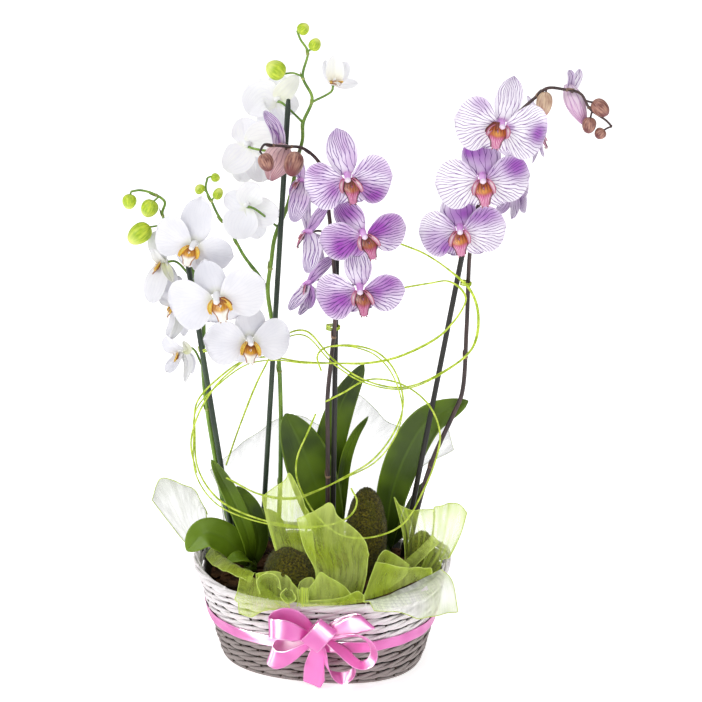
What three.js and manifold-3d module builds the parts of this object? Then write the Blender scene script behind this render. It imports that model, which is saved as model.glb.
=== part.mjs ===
// Four moth orchids planted in an oval wicker basket, with rattan canes, sheer wrap and a ribbon bow.
// Millimetres, +Z up. The origin is the middle of the basket's underside, +X runs along its long axis,
// and the bow is on the -Y side. The plants are laid out in a frame of their own, turned a little
// about Z from the basket: there x runs to the viewer's right, y away from the viewer, z up.
import * as THREE from "three";
import { mergeVertices } from "three/addons/utils/BufferGeometryUtils.js";
import Module from "manifold-3d";

const wasm = await Module();
wasm.setup();

const GAP = 0.35; // clearance between pieces that touch
const LAYOUT_YAW = THREE.MathUtils.degToRad(10);

// Basket
const BASKET = { rimX: 131, rimY: 95, bottomX: 105, bottomY: 75, squareness: 2.4 };
const RIM_FRONT_Z = 95; // height of the rim's middle line at the front and back
const RIM_END_RISE = 12; // the ends of the rim stand this much higher
const RIM_RADIUS = 4.5;
const BASE_THICK = 4;
const WALL_HALF = 1.8; // half the thickness of the woven wall
const WEAVE_RELIEF = 0.9;
const STAKES = 28;
const ROWS_IN_BAND = 5; // weave rows in each of the two painted bands
const COLOUR_SPLIT = 0.5; // share of the wall's height where grey turns to white
const LINER_THICK = 1.2;
const BARK_TOP = 86;
const BARK_CLEAR = 1.4; // the bark keeps this far from the liner's wall
const RIBBON = { low: 0.45, high: 0.59, thick: 0.8, standoff: 3.2 };

// Plants
const STICK_RADIUS = 2.8;
const STEM_RADIUS = 2.5;
const SPRAY_RADIUS = 1.7;
const PEDICEL_RADIUS = 1.2;
const CANE_RADIUS = 1;
const ROOT_Z = 58; // depth to which stems and sticks reach into the bark
const TEPAL_THICK = 0.9;
const LEAF_THICK = 1.8;
const SHEER_THICK = 0.7;

const COLOURS = {
  white: 0xf4f3f6,
  striped: 0xcfa6dc,
  greenStem: 0x6f9a3a,
  darkStem: 0x4a3340,
  stick: 0x26302a,
  leaf: 0x3f6a1c,
  bark: 0x3a2a1e,
  moss: 0x4f5a1a,
  cane: 0xb9dc3f,
  sheerGreen: 0xb6d36a,
  sheerWhite: 0xe9ece6,
  wickerWhite: 0xdedbda,
  wickerGrey: 0x8a8480,
  liner: 0x24211f,
  pink: 0xe87cc0,
};

const vec = (point) => new THREE.Vector3(...point);
const lerp = THREE.MathUtils.lerp;

// Closed geometry from points and triangles, without the triangles that have collapsed.
function closed(points, index) {
  const raw = new THREE.BufferGeometry();
  raw.setAttribute("position", new THREE.Float32BufferAttribute(points.flatMap((p) => p.toArray()), 3));
  raw.setIndex(index);
  const merged = mergeVertices(raw, 1e-3);
  const kept = [];
  for (let i = 0; i < merged.index.count; i += 3) {
    const [a, b, c] = [0, 1, 2].map((k) => merged.index.getX(i + k));
    if (a !== b && b !== c && a !== c) kept.push(a, b, c);
  }
  merged.setIndex(kept);
  return merged;
}

// A geometry as a solid that can be joined and cut.
function solid(geometry) {
  const bare = geometry.clone();
  bare.deleteAttribute("normal");
  bare.deleteAttribute("uv");
  const merged = mergeVertices(bare, 1e-3);
  return new wasm.Manifold(
    new wasm.Mesh({
      numProp: 3,
      vertProperties: merged.attributes.position.array,
      triVerts: new Uint32Array(merged.index.array),
    }),
  );
}

function geometryOf(made) {
  const mesh = made.getMesh();
  const geometry = new THREE.BufferGeometry();
  geometry.setAttribute("position", new THREE.Float32BufferAttribute(mesh.vertProperties, 3));
  geometry.setIndex(new THREE.Uint32BufferAttribute(mesh.triVerts, 1));
  return geometry;
}

const joined = (geometries) =>
  geometryOf(geometries.map(solid).reduce((whole, piece) => whole.add(piece)));

function polygon(radius, sides) {
  const corners = [];
  for (let i = 0; i < sides; i++) {
    const turn = (2 * Math.PI * i) / sides;
    corners.push(new THREE.Vector2(radius * Math.cos(turn), radius * Math.sin(turn)));
  }
  return new THREE.Shape(corners);
}

function tube(points, radius, steps, sides) {
  return new THREE.ExtrudeGeometry(polygon(radius, sides), {
    extrudePath: new THREE.CatmullRomCurve3(points.map(vec)),
    steps,
    bevelEnabled: false,
  });
}

function rod(from, to, radius, sides) {
  return new THREE.ExtrudeGeometry(polygon(radius, sides), {
    extrudePath: new THREE.LineCurve3(vec(from), vec(to)),
    steps: 1,
    bevelEnabled: false,
  });
}

function ovoid(at, radii, around, high) {
  const shape = new THREE.SphereGeometry(1, around, high);
  shape.rotateX(Math.PI / 2);
  shape.scale(...radii);
  shape.translate(...at);
  return shape;
}

// A blade: a grid of points on its middle surface, thickened evenly to both sides. Front and back
// faces are split alike, so a waved blade never crosses itself.
function blade(pointAt, rows, columns, thickness) {
  const grid = rows.map((t) => columns.map((s) => pointAt(t, s)));
  const [R, C] = [rows.length, columns.length];
  const half = thickness / 2;
  const front = [];
  const back = [];
  for (let r = 0; r < R; r++) {
    for (let c = 0; c < C; c++) {
      const across = grid[r][Math.min(c + 1, C - 1)].clone().sub(grid[r][Math.max(c - 1, 0)]);
      const along = grid[Math.min(r + 1, R - 1)][c].clone().sub(grid[Math.max(r - 1, 0)][c]);
      const normal = across.cross(along).normalize();
      front.push(grid[r][c].clone().addScaledVector(normal, half));
      back.push(grid[r][c].clone().addScaledVector(normal, -half));
    }
  }
  const index = [];
  const at = (r, c) => r * C + c;
  const under = R * C;
  for (let r = 0; r < R - 1; r++) {
    for (let c = 0; c < C - 1; c++) {
      const [p, q, v, w] = [at(r, c), at(r, c + 1), at(r + 1, c + 1), at(r + 1, c)];
      index.push(p, q, v, p, v, w);
      index.push(under + p, under + v, under + q, under + p, under + w, under + v);
    }
  }
  const border = [];
  for (let c = 0; c < C - 1; c++) border.push(at(0, c));
  for (let r = 0; r < R - 1; r++) border.push(at(r, C - 1));
  for (let c = C - 1; c > 0; c--) border.push(at(R - 1, c));
  for (let r = R - 1; r > 0; r--) border.push(at(r, 0));
  border.forEach((p, i) => {
    const q = border[(i + 1) % border.length];
    index.push(p, under + p, under + q, p, under + q, q);
  });
  return closed([...front, ...back], index);
}

// A body swept once round Z: sectionAt gives the closed section at each of the equal steps.
function revolve(sectionAt, segments) {
  const sections = [];
  for (let i = 0; i < segments; i++) sections.push(sectionAt((2 * Math.PI * i) / segments, i));
  const K = sections[0].length;
  const index = [];
  for (let i = 0; i < segments; i++) {
    for (let k = 0; k < K; k++) {
      const j = (i + 1) % segments;
      const m = (k + 1) % K;
      const [p, q, v, w] = [i * K + k, j * K + k, j * K + m, i * K + m];
      index.push(p, q, v, p, v, w);
    }
  }
  return closed(sections.flat(), index);
}

// Basket shape: the rim rises towards both ends, and the plan is an oval squared off a little.
const rimHeight = (turn) => RIM_FRONT_Z + RIM_END_RISE * Math.abs(Math.cos(turn)) ** 3;

function onBasket(turn, share, outward, z) {
  const squared = (value) => Math.sign(value) * Math.abs(value) ** (2 / BASKET.squareness);
  const halfX = lerp(BASKET.bottomX, BASKET.rimX, share) + outward;
  const halfY = lerp(BASKET.bottomY, BASKET.rimY, share) + outward;
  return new THREE.Vector3(halfX * squared(Math.cos(turn)), halfY * squared(Math.sin(turn)), z);
}

const shareAt = (turn, z) => z / rimHeight(turn);

function wallPoint(turn, z, outward) {
  return onBasket(turn, shareAt(turn, z), outward, z);
}

function basketBase() {
  return revolve((turn) => {
    const edge = onBasket(turn, 0, 0, 0);
    const top = edge.clone().setZ(BASE_THICK);
    return [new THREE.Vector3(0, 0, 0), edge, top, new THREE.Vector3(0, 0, BASE_THICK)];
  }, STAKES);
}

// One painted band of the woven wall. The splints pass before and behind the stakes by turns, which
// shows as relief that swaps from stake to stake and from row to row.
function wallBand(bottomAt, topAt) {
  return revolve((turn, stake) => {
    const [low, high] = [bottomAt(turn), topAt(turn)];
    const section = [];
    for (let row = 0; row <= ROWS_IN_BAND; row++) {
      const relief = (stake + row) % 2 ? WEAVE_RELIEF : 0;
      section.push(wallPoint(turn, lerp(low, high, row / ROWS_IN_BAND), WALL_HALF - relief));
    }
    section.push(wallPoint(turn, high, -WALL_HALF), wallPoint(turn, low, -WALL_HALF));
    return section;
  }, STAKES);
}

const splitHeight = (turn) => COLOUR_SPLIT * rimHeight(turn);
const wallTop = (turn) => rimHeight(turn) - RIM_RADIUS - GAP;
const lowerWall = () => wallBand(() => BASE_THICK + GAP, splitHeight);
const upperWall = () => wallBand((turn) => splitHeight(turn) + GAP, wallTop);

function rim() {
  const sides = 6;
  return revolve((turn) => {
    const section = [];
    for (let k = 0; k < sides; k++) {
      const lean = (2 * Math.PI * (k + 0.5)) / sides;
      const z = rimHeight(turn) + RIM_RADIUS * Math.sin(lean);
      section.push(onBasket(turn, 1, RIM_RADIUS * Math.cos(lean), z));
    }
    return section;
  }, STAKES);
}

const LINER_OUT = -WALL_HALF - 2;
const LINER_FLOOR = BASE_THICK + 1;
const linerTop = (turn) => rimHeight(turn) - RIM_RADIUS - 1.5;

function liner() {
  const inner = LINER_OUT - LINER_THICK;
  const floorTop = LINER_FLOOR + LINER_THICK;
  return revolve(
    (turn) => [
      new THREE.Vector3(0, 0, LINER_FLOOR),
      wallPoint(turn, LINER_FLOOR, LINER_OUT),
      wallPoint(turn, linerTop(turn), LINER_OUT),
      wallPoint(turn, linerTop(turn), inner),
      wallPoint(turn, floorTop, inner),
      new THREE.Vector3(0, 0, floorTop),
    ],
    STAKES / 2,
  );
}

// Support sticks: foot at the bark, and top, in the layout frame.
const STICKS = {
  stick_front_left: { foot: [-92, 24, 89], top: [-131, 3, 425] },
  stick_back_left: { foot: [-67, 54, 89], top: [-31, 40, 576] },
  stick_middle: { foot: [10, 31, 89], top: [16, 20, 433] },
  stick_right: { foot: [86, 41, 89], top: [142, 30, 427] },
};

function stickEnds({ foot, top }) {
  const [low, high] = [vec(foot), vec(top)];
  const slope = high.clone().sub(low).divideScalar(high.z - low.z);
  return [low.addScaledVector(slope, ROOT_Z - foot[2]).toArray(), top];
}

// Flower stems, from the bark to the tip. spray names the point after which the stem is slender.
// A bud is [x, y, z, width, height, x, y, z of the place on the stem that it hangs from].
const STEMS = {
  stem_front_left: {
    colour: "greenStem",
    lower: [[-90, 34, 58], [-91, 33, 100], [-103, 28, 150], [-112, 20, 215], [-119, 17, 279],
      [-120, 15, 320], [-118, 14, 355], [-122, 14, 392]],
    upper: [[-122, 14, 392], [-132, 15, 425], [-148, 15, 452], [-155, 14, 468], [-152, 13, 480],
      [-162, 12, 488], [-175, 11, 492], [-184, 10, 491]],
    buds: [[-186, 9, 481, 14, 15, -184, 10, 491], [-167, 10, 474, 17, 18, -158, 12, 485],
      [-177, 4, 450, 20, 26, -152, 15, 458]],
  },
  stem_back_left: {
    colour: "greenStem",
    lower: [[-50, 64, 58], [-49, 63, 100], [-46, 60, 160], [-44, 57, 250], [-46, 56, 312],
      [-52, 54, 350], [-55, 51, 380], [-51, 50, 410], [-47, 52, 435], [-33, 52, 470], [-22, 49, 520]],
    upper: [[-22, 49, 520], [-18, 48, 535], [-17, 47, 552], [-8, 46, 576], [-17, 46, 597],
      [-12, 46, 621], [-19, 46, 633], [-22, 46, 641]],
    second: [[-55, 51, 380], [-65, 48, 398], [-78, 48, 416], [-91, 50, 440], [-103, 48, 458],
      [-109, 42, 474], [-114, 38, 488], [-112, 36, 499]],
    buds: [[-16, 46, 643, 12, 12, -22, 46, 641], [-5, 46, 628, 12, 13, -13, 46, 618],
      [-43, 37, 605, 19, 20, -17, 46, 597], [-104, 38, 499, 9, 9, -112, 36, 499],
      [-120, 36, 488, 11, 9, -113, 39, 484], [-102, 38, 483, 10, 13, -109, 42, 474]],
  },
  stem_middle: {
    colour: "darkStem",
    lower: [[1, 27, 58], [2, 26, 100], [5, 24, 141], [6, 20, 230], [6, 18, 275], [10, 14, 317],
      [14, 11, 360], [14, 11, 400], [11, 14, 442], [6, 17, 490]],
    upper: [[6, 17, 490], [3, 18, 510], [-5, 18, 523], [-18, 15, 533], [-32, 11, 535],
      [-44, 5, 537], [-53, -2, 539], [-57, -6, 533]],
    buds: [[-51, -8, 523, 15, 18, -57, -6, 533], [-25, -7, 521, 19, 26, -18, 15, 533]],
  },
  stem_right: {
    colour: "darkStem",
    lower: [[92, 30, 58], [93, 30, 100], [102, 34, 150], [116, 41, 197], [137, 41, 249],
      [145, 39, 272], [148, 37, 343], [149, 36, 418], [151, 31, 445], [157, 27, 479], [171, 27, 529]],
    upper: [[171, 27, 529], [180, 28, 548], [192, 29, 564], [207, 30, 578], [219, 30, 588],
      [236, 30, 587], [252, 30, 583], [262, 30, 568], [278, 30, 557], [284, 30, 551]],
    buds: [[217, 28, 573, 16, 24, 219, 30, 588], [272, 30, 569, 16, 20, 258, 30, 576],
      [262, 31, 552, 14, 16, 264, 30, 566], [273, 30, 544, 12, 11, 284, 30, 551]],
  },
};

// Blooms: middle, the way it faces (yaw to the viewer's right, pitch up, roll clockwise, degrees),
// width across the petals, how far it has opened, the stem and the place on it that carries it.
const BLOOMS = [
  ["white_front_top", "white", [-121, -25, 445], [-10, -4, 7], 84, 1, "stem_front_left", [-126, 15, 405]],
  ["white_front_middle", "white", [-98, -43, 398], [0, -10, -12], 98, 1, "stem_front_left", [-118, 14, 362]],
  ["white_front_low", "white", [-70, -22, 348], [14, -4, 8], 86, 1, "stem_front_left", [-119, 15, 338]],
  ["white_side_top", "white", [-155, 10, 420], [-80, 0, 0], 60, 1, "stem_front_left", [-124, 14, 396]],
  ["white_side_middle", "white", [-144, 8, 377], [-72, -6, 0], 56, 1, "stem_front_left", [-118, 14, 350]],
  ["white_side_low", "white", [-141, 8, 328], [-75, -12, 0], 58, 1, "stem_front_left", [-120, 15, 309]],
  ["white_back_tip", "white", [13, 46, 590], [20, 50, 0], 54, 0.4, "stem_back_left", [-9, 46, 572]],
  ["white_back_top", "white", [-44, 64, 571], [-150, 4, 0], 74, 1, "stem_back_left", [-17, 47, 552]],
  ["white_back_middle", "white", [-74, 62, 526], [-150, 0, 0], 80, 1, "stem_back_left", [-22, 49, 519]],
  ["white_back_low", "white", [-74, 34, 471], [-140, 0, 0], 64, 1, "stem_back_left", [-43, 52, 445]],
  ["striped_middle_top", "striped", [27, -26, 511], [0, -3, -4], 90, 1, "stem_middle", [3, 18, 508]],
  ["striped_middle_centre", "striped", [42, -14, 453], [10, -4, -12], 88, 1, "stem_middle", [10, 15, 447]],
  ["striped_middle_low", "striped", [39, 1, 394], [0, -6, -3], 92, 1, "stem_middle", [14, 11, 390]],
  ["striped_side_top", "striped", [-18, 27, 498], [-76, 0, 0], 54, 1, "stem_middle", [8, 16, 470]],
  ["striped_side_centre", "striped", [-12, 19, 448], [-84, -4, 0], 62, 1, "stem_middle", [12, 14, 434]],
  ["striped_side_low", "striped", [-13, 24, 394], [-70, -16, 0], 58, 1, "stem_middle", [14, 11, 386]],
  ["striped_half_open", "striped", [-39, 25, 516], [-20, -20, 0], 42, 0.35, "stem_middle", [-32, 11, 535]],
  ["pale_right_top", "pale", [170, -30, 562], [2, -4, 10], 90, 1, "stem_right", [181, 28, 549]],
  ["pale_right_middle", "pale", [156, -11, 507], [-2, -4, -6], 94, 1, "stem_right", [164, 27, 503]],
  ["pale_right_low", "pale", [137, 6, 453], [-4, -4, -10], 90, 1, "stem_right", [151, 31, 443]],
  ["pale_back_top", "pale", [212, 60, 540], [104, 0, 0], 70, 1, "stem_right", [192, 29, 564]],
  ["pale_back_low", "pale", [192, 54, 486], [112, -4, 0], 74, 1, "stem_right", [158, 27, 484]],
  ["pale_half_open", "pale", [243, 45, 576], [20, -60, 0], 40, 0.35, "stem_right", [244, 30, 585]],
];

// Tepals of one bloom, as shares of its width. aim is the direction from the middle, in degrees from
// the bloom's right; a sepal lies behind the petals.
const SEPAL = { claw: 0.2, peak: 0.5, tip: 0.38, round: 0.2, back: 0.1, cup: 0.02, layer: -0.03 };
const PETAL = { claw: 0.14, peak: 0.56, tip: 0.62, round: 0.14, back: 0.12, cup: 0.05, layer: 0.02 };
const CLAW_START = 0.045; // tepals begin this far from the bloom's middle
const TEPALS = [
  { ...SEPAL, aim: 90, length: 0.55, width: 0.34, rows: [0, 0.33, 0.66, 1] },
  { ...SEPAL, aim: -124, length: 0.45, width: 0.27, rows: [0, 0.5, 1] },
  { ...SEPAL, aim: -56, length: 0.45, width: 0.27, rows: [0, 0.5, 1] },
  { ...PETAL, aim: 176, length: 0.49, width: 0.55, rows: [0, 0.25, 0.6, 1] },
  { ...PETAL, aim: 4, length: 0.49, width: 0.55, rows: [0, 0.25, 0.6, 1] },
];
const LIP = { length: 0.25, width: 0.2, rise: 0.1, lobes: 0.09 };
const HALF_OPEN_ROWS = [0, 0.5, 1];
const HUB = 0.075; // radius of the bloom's middle
const THREE_COLUMNS = [-1, 0, 1];
const BUD_CLOSED = THREE.MathUtils.degToRad(70); // how far tepals lean forward in an unopened bloom

// Half width of a tepal along its length, from its claw over its widest place to its tip.
function spread(t, { claw, peak, tip }) {
  if (t < peak) return claw + (1 - claw) * Math.sin((Math.PI / 2) * (t / peak)) ** 0.8;
  return tip + (1 - tip) * Math.cos((Math.PI / 2) * ((t - peak) / (1 - peak)));
}

function tepalPoint(kind, size, open, t, s) {
  const aim = THREE.MathUtils.degToRad(kind.aim);
  const lean = (1 - open) * (BUD_CLOSED + 4 * kind.layer);
  const out = size * (CLAW_START + (kind.length - CLAW_START) * t * (1 - kind.round * s * s * t));
  const side = (size * kind.width * s * spread(t, kind) * lerp(0.55, 1, open)) / 2;
  const bend = size * (kind.layer + 0.1 * t - (0.1 + kind.back) * t * t + kind.cup * s * s * t);
  const radial = out * Math.cos(lean) - bend * Math.sin(lean);
  const depth = out * Math.sin(lean) + bend * Math.cos(lean);
  const [cos, sin] = [Math.cos(aim), Math.sin(aim)];
  return new THREE.Vector3(radial * cos - side * sin, radial * sin + side * cos, depth);
}

// The lip hangs forward below the column, with two lobes raised at its sides.
function lipPoint(size, t, s) {
  const widths = 0.5 + 1.1 * t - 1.35 * t * t;
  const x = size * LIP.width * 0.75 * widths * s;
  const y = -size * (0.02 + LIP.length * t - LIP.lobes * s * s * (1 - t));
  const z = size * (0.03 + LIP.rise * Math.sin(Math.PI * 0.75 * t) + LIP.lobes * s * s * (1 - t));
  return new THREE.Vector3(x, y, z);
}

function bloom(size, open) {
  const pieces = TEPALS.map((kind) => {
    const rows = open < 1 ? HALF_OPEN_ROWS : kind.rows;
    return blade((t, s) => tepalPoint(kind, size, open, t, s), rows, THREE_COLUMNS, TEPAL_THICK);
  });
  pieces.push(blade((t, s) => lipPoint(size, t, s), [0, 0.45, 1], THREE_COLUMNS, TEPAL_THICK));
  const hub = new THREE.CylinderGeometry(size * HUB, size * HUB, size * 1.6 * HUB, 5, 1);
  hub.rotateX(-Math.PI / 2);
  pieces.push(hub);
  return joined(pieces);
}

// Where a bloom stands and which way it faces: the matrix from its own frame to the layout frame.
function bloomMatrix(at, [yaw, pitch, roll]) {
  const [turn, lift, spin] = [yaw, pitch, roll].map(THREE.MathUtils.degToRad);
  const front = new THREE.Vector3(
    Math.sin(turn) * Math.cos(lift),
    -Math.cos(turn) * Math.cos(lift),
    Math.sin(lift),
  );
  const right = new THREE.Vector3(0, 0, 1).cross(front).normalize();
  const up = front.clone().cross(right);
  const tilted = up.clone().multiplyScalar(Math.cos(spin)).addScaledVector(right, Math.sin(spin));
  const level = tilted.clone().cross(front);
  return new THREE.Matrix4().makeBasis(level, tilted, front).setPosition(vec(at));
}

// The stalk of a bloom, from the stem to just behind the bloom's middle.
function pedicel([, , at, facing, size, , , from]) {
  const matrix = bloomMatrix(at, facing);
  const end = new THREE.Vector3(0, 0, -size * HUB - PEDICEL_RADIUS - GAP).applyMatrix4(matrix);
  const before = new THREE.Vector3(0, 0, -size * 0.2).applyMatrix4(matrix);
  return tube([from, before.toArray(), end.toArray()], PEDICEL_RADIUS, 2, 3);
}

function bud([x, y, z, width, height, ...from]) {
  const body = ovoid([x, y, z], [width / 2, width / 2, height / 2], 5, 4);
  return [body, rod(from, [x, y, z + height * 0.3], PEDICEL_RADIUS, 3)];
}

function flowerStem(name, { lower, upper, second, buds }) {
  const pieces = [tube(lower, STEM_RADIUS, 14, 4), tube(upper, SPRAY_RADIUS, 10, 3)];
  if (second) pieces.push(tube(second, SPRAY_RADIUS, 8, 3));
  const carried = BLOOMS.filter((row) => row[6] === name);
  return joined([...pieces, ...carried.map(pedicel), ...buds.flatMap(bud)]);
}

// Leaves: the points of the midrib from the crown outwards, the widest breadth, the direction that
// the upper face turns to, and how deep the blade folds along its midrib.
const CROWNS = {
  leaves_front_left: {
    crown: [-76, 8],
    leaves: [
      { rib: [[-77, 5, 96], [-89, 1, 112], [-102, -4, 128], [-121, -15, 138], [-139, -22, 122]],
        width: 33, face: [0.2, -0.8, 0.6], fold: 0.2 },
      { rib: [[-77, 4, 94], [-76, -2, 116], [-80, -6, 140], [-93, -9, 177], [-112, -10, 218]],
        width: 18, face: [0.5, -0.85, 0.1], fold: 0.3 },
      { rib: [[-73, 10, 92], [-67, 13, 118], [-74, 14, 148], [-89, 17, 177]],
        width: 23, face: [0.35, -0.9, 0.2], fold: 0.2 },
      { rib: [[-73, 2, 94], [-79, -10, 107], [-88, -19, 113], [-98, -24, 111]],
        width: 16, face: [0, -0.4, 0.9], fold: 0.2 },
    ],
  },
  leaves_back_left: {
    crown: [-82, 50],
    leaves: [
      { rib: [[-83, 50, 94], [-92, 52, 112], [-101, 54, 128], [-106, 55, 142]],
        width: 16, face: [0.5, -0.6, 0.6], fold: 0.2 },
      { rib: [[-80, 48, 92], [-72, 40, 122], [-57, 28, 131], [-41, 19, 113]],
        width: 27, face: [0.1, -0.8, 0.6], fold: 0.2 },
    ],
  },
  leaves_middle: {
    crown: [13, 50],
    leaves: [
      { rib: [[12, 48, 92], [3, 46, 128], [-8, 44, 170], [-22, 42, 212], [-38, 38, 250]],
        width: 50, face: [0.2, -0.97, 0.1], fold: 0.12 },
      { rib: [[12, 56, 92], [4, 64, 140], [6, 66, 200], [20, 64, 252], [43, 60, 297]],
        width: 34, face: [0.2, -0.95, 0], fold: 0.2 },
      { rib: [[17, 52, 92], [19, 58, 140], [24, 57, 190], [34, 53, 220], [48, 48, 243]],
        width: 13, face: [0.3, -0.9, 0.3], fold: 0.3 },
    ],
  },
  leaves_right: {
    crown: [66, 44],
    leaves: [
      { rib: [[67, 46, 92], [73, 50, 150], [89, 53, 200], [112, 52, 238], [152, 44, 262]],
        width: 38, face: [-0.2, -0.95, 0.15], fold: 0.22 },
      { rib: [[69, 48, 92], [84, 50, 112], [97, 55, 140], [109, 57, 166]],
        width: 14, face: [0.1, -0.95, 0.2], fold: 0.3 },
    ],
  },
};
const LEAF = { claw: 0.34, peak: 0.55, tip: 0.22 };
const CROWN_RADIUS = 7;
const CROWN_TOP = 99;

function leafPoint({ rib, width, face, fold }, t, s) {
  const path = new THREE.CatmullRomCurve3(rib.map(vec));
  const tangent = path.getTangent(t);
  const side = tangent.clone().cross(vec(face)).normalize();
  const upper = side.clone().cross(tangent);
  const half = (width / 2) * spread(t, LEAF);
  const reach = t * (1 - 0.06 * s * s * t);
  return path.getPoint(reach).addScaledVector(side, half * s).addScaledVector(upper, half * fold * s * s);
}

function leafRosette({ crown: [x, y], leaves }) {
  const pieces = [rod([x, y, 74], [x, y, CROWN_TOP], CROWN_RADIUS, 8)];
  const rows = [0, 0.15, 0.35, 0.55, 0.75, 0.9, 1];
  for (const leaf of leaves)
    pieces.push(blade((t, s) => leafPoint(leaf, t, s), rows, THREE_COLUMNS, LEAF_THICK));
  return joined(pieces);
}

// Moss-covered eggs, flat where they rest on the bark.
const MOSS = {
  moss_dome: { at: [-31, -42], width: 54, height: 50 },
  moss_egg: { at: [46, -5], width: 42, height: 98 },
  moss_ball: { at: [105, 15], width: 26, height: 40 },
};

function mossEgg({ at: [x, y], width, height }) {
  const profile = [new THREE.Vector2(0, 0)];
  const steps = 7;
  for (let k = 1; k <= steps; k++) {
    const turn = lerp(-1.05, Math.PI / 2, (k - 1) / (steps - 1));
    const low = Math.sin(-1.05);
    const up = (Math.sin(turn) - low) / (1 - low);
    profile.push(new THREE.Vector2(k === steps ? 0 : (width / 2) * Math.cos(turn), up * height));
  }
  const egg = new THREE.LatheGeometry(profile, 10);
  egg.rotateX(Math.PI / 2);
  egg.translate(x, y, BARK_TOP + GAP);
  return closed(pointsOf(egg), [...egg.index.array]);
}

function pointsOf(geometry) {
  const { position } = geometry.attributes;
  const points = [];
  for (let i = 0; i < position.count; i++) points.push(new THREE.Vector3().fromBufferAttribute(position, i));
  return points;
}

// Rattan canes, bent in loops about the stems.
const CANES = {
  cane_wide: [[70, 22, 388], [90, 18, 393], [109, 12, 398], [126, 16, 399], [139, 18, 391], [145, 19, 380],
    [142, 18, 370], [133, 17, 356], [118, 14, 341], [88, 8, 326], [66, 3, 320], [43, -1, 318],
    [19, -3, 319], [-21, -6, 322], [-50, -4, 326], [-76, -2, 322], [-102, -6, 305], [-125, -8, 279],
    [-128, -9, 247], [-125, -16, 210], [-105, -28, 183], [-68, -30, 163], [-22, -30, 153],
    [11, -29, 155], [30, -28, 165], [36, -24, 178], [30, -18, 190]],
  cane_high: [[78, 14, 438], [104, 18, 426], [130, 17, 408], [150, 19, 387], [158, 22, 358],
    [152, 20, 327], [124, 16, 304], [83, 10, 289], [43, 5, 299], [12, 1, 322], [-15, 6, 350],
    [-36, 14, 343], [-61, 24, 300], [-85, 34, 240], [-102, 44, 190]],
  cane_oval: [[-6, 5, 262], [-14, 3, 243], [-25, 2, 216], [-26, 0, 196], [-18, -3, 174],
    [-3, -10, 153], [22, -31, 143], [52, -34, 143], [82, -24, 152], [104, 4, 176], [118, 20, 206],
    [122, 22, 234], [110, 20, 266], [82, 16, 290], [48, 8, 298], [22, 2, 286], [4, 3, 276]],
  cane_low: [[-96, -26, 205], [-63, -24, 186], [-30, -18, 178], [-4, -8, 183], [24, 0, 195],
    [52, 4, 212], [74, 10, 240], [83, 6, 275], [73, 6, 310], [57, 10, 326], [38, 6, 334],
    [19, 3, 336], [2, 4, 332], [-4, 8, 322], [0, 6, 308]],
  cane_left: [[-62, -4, 333], [-84, -10, 318], [-104, -14, 300], [-122, -18, 272], [-131, -20, 240],
    [-126, -25, 210]],
};

const cane = (points) => tube(points, CANE_RADIUS, Math.round(1.6 * points.length), 3);

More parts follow.
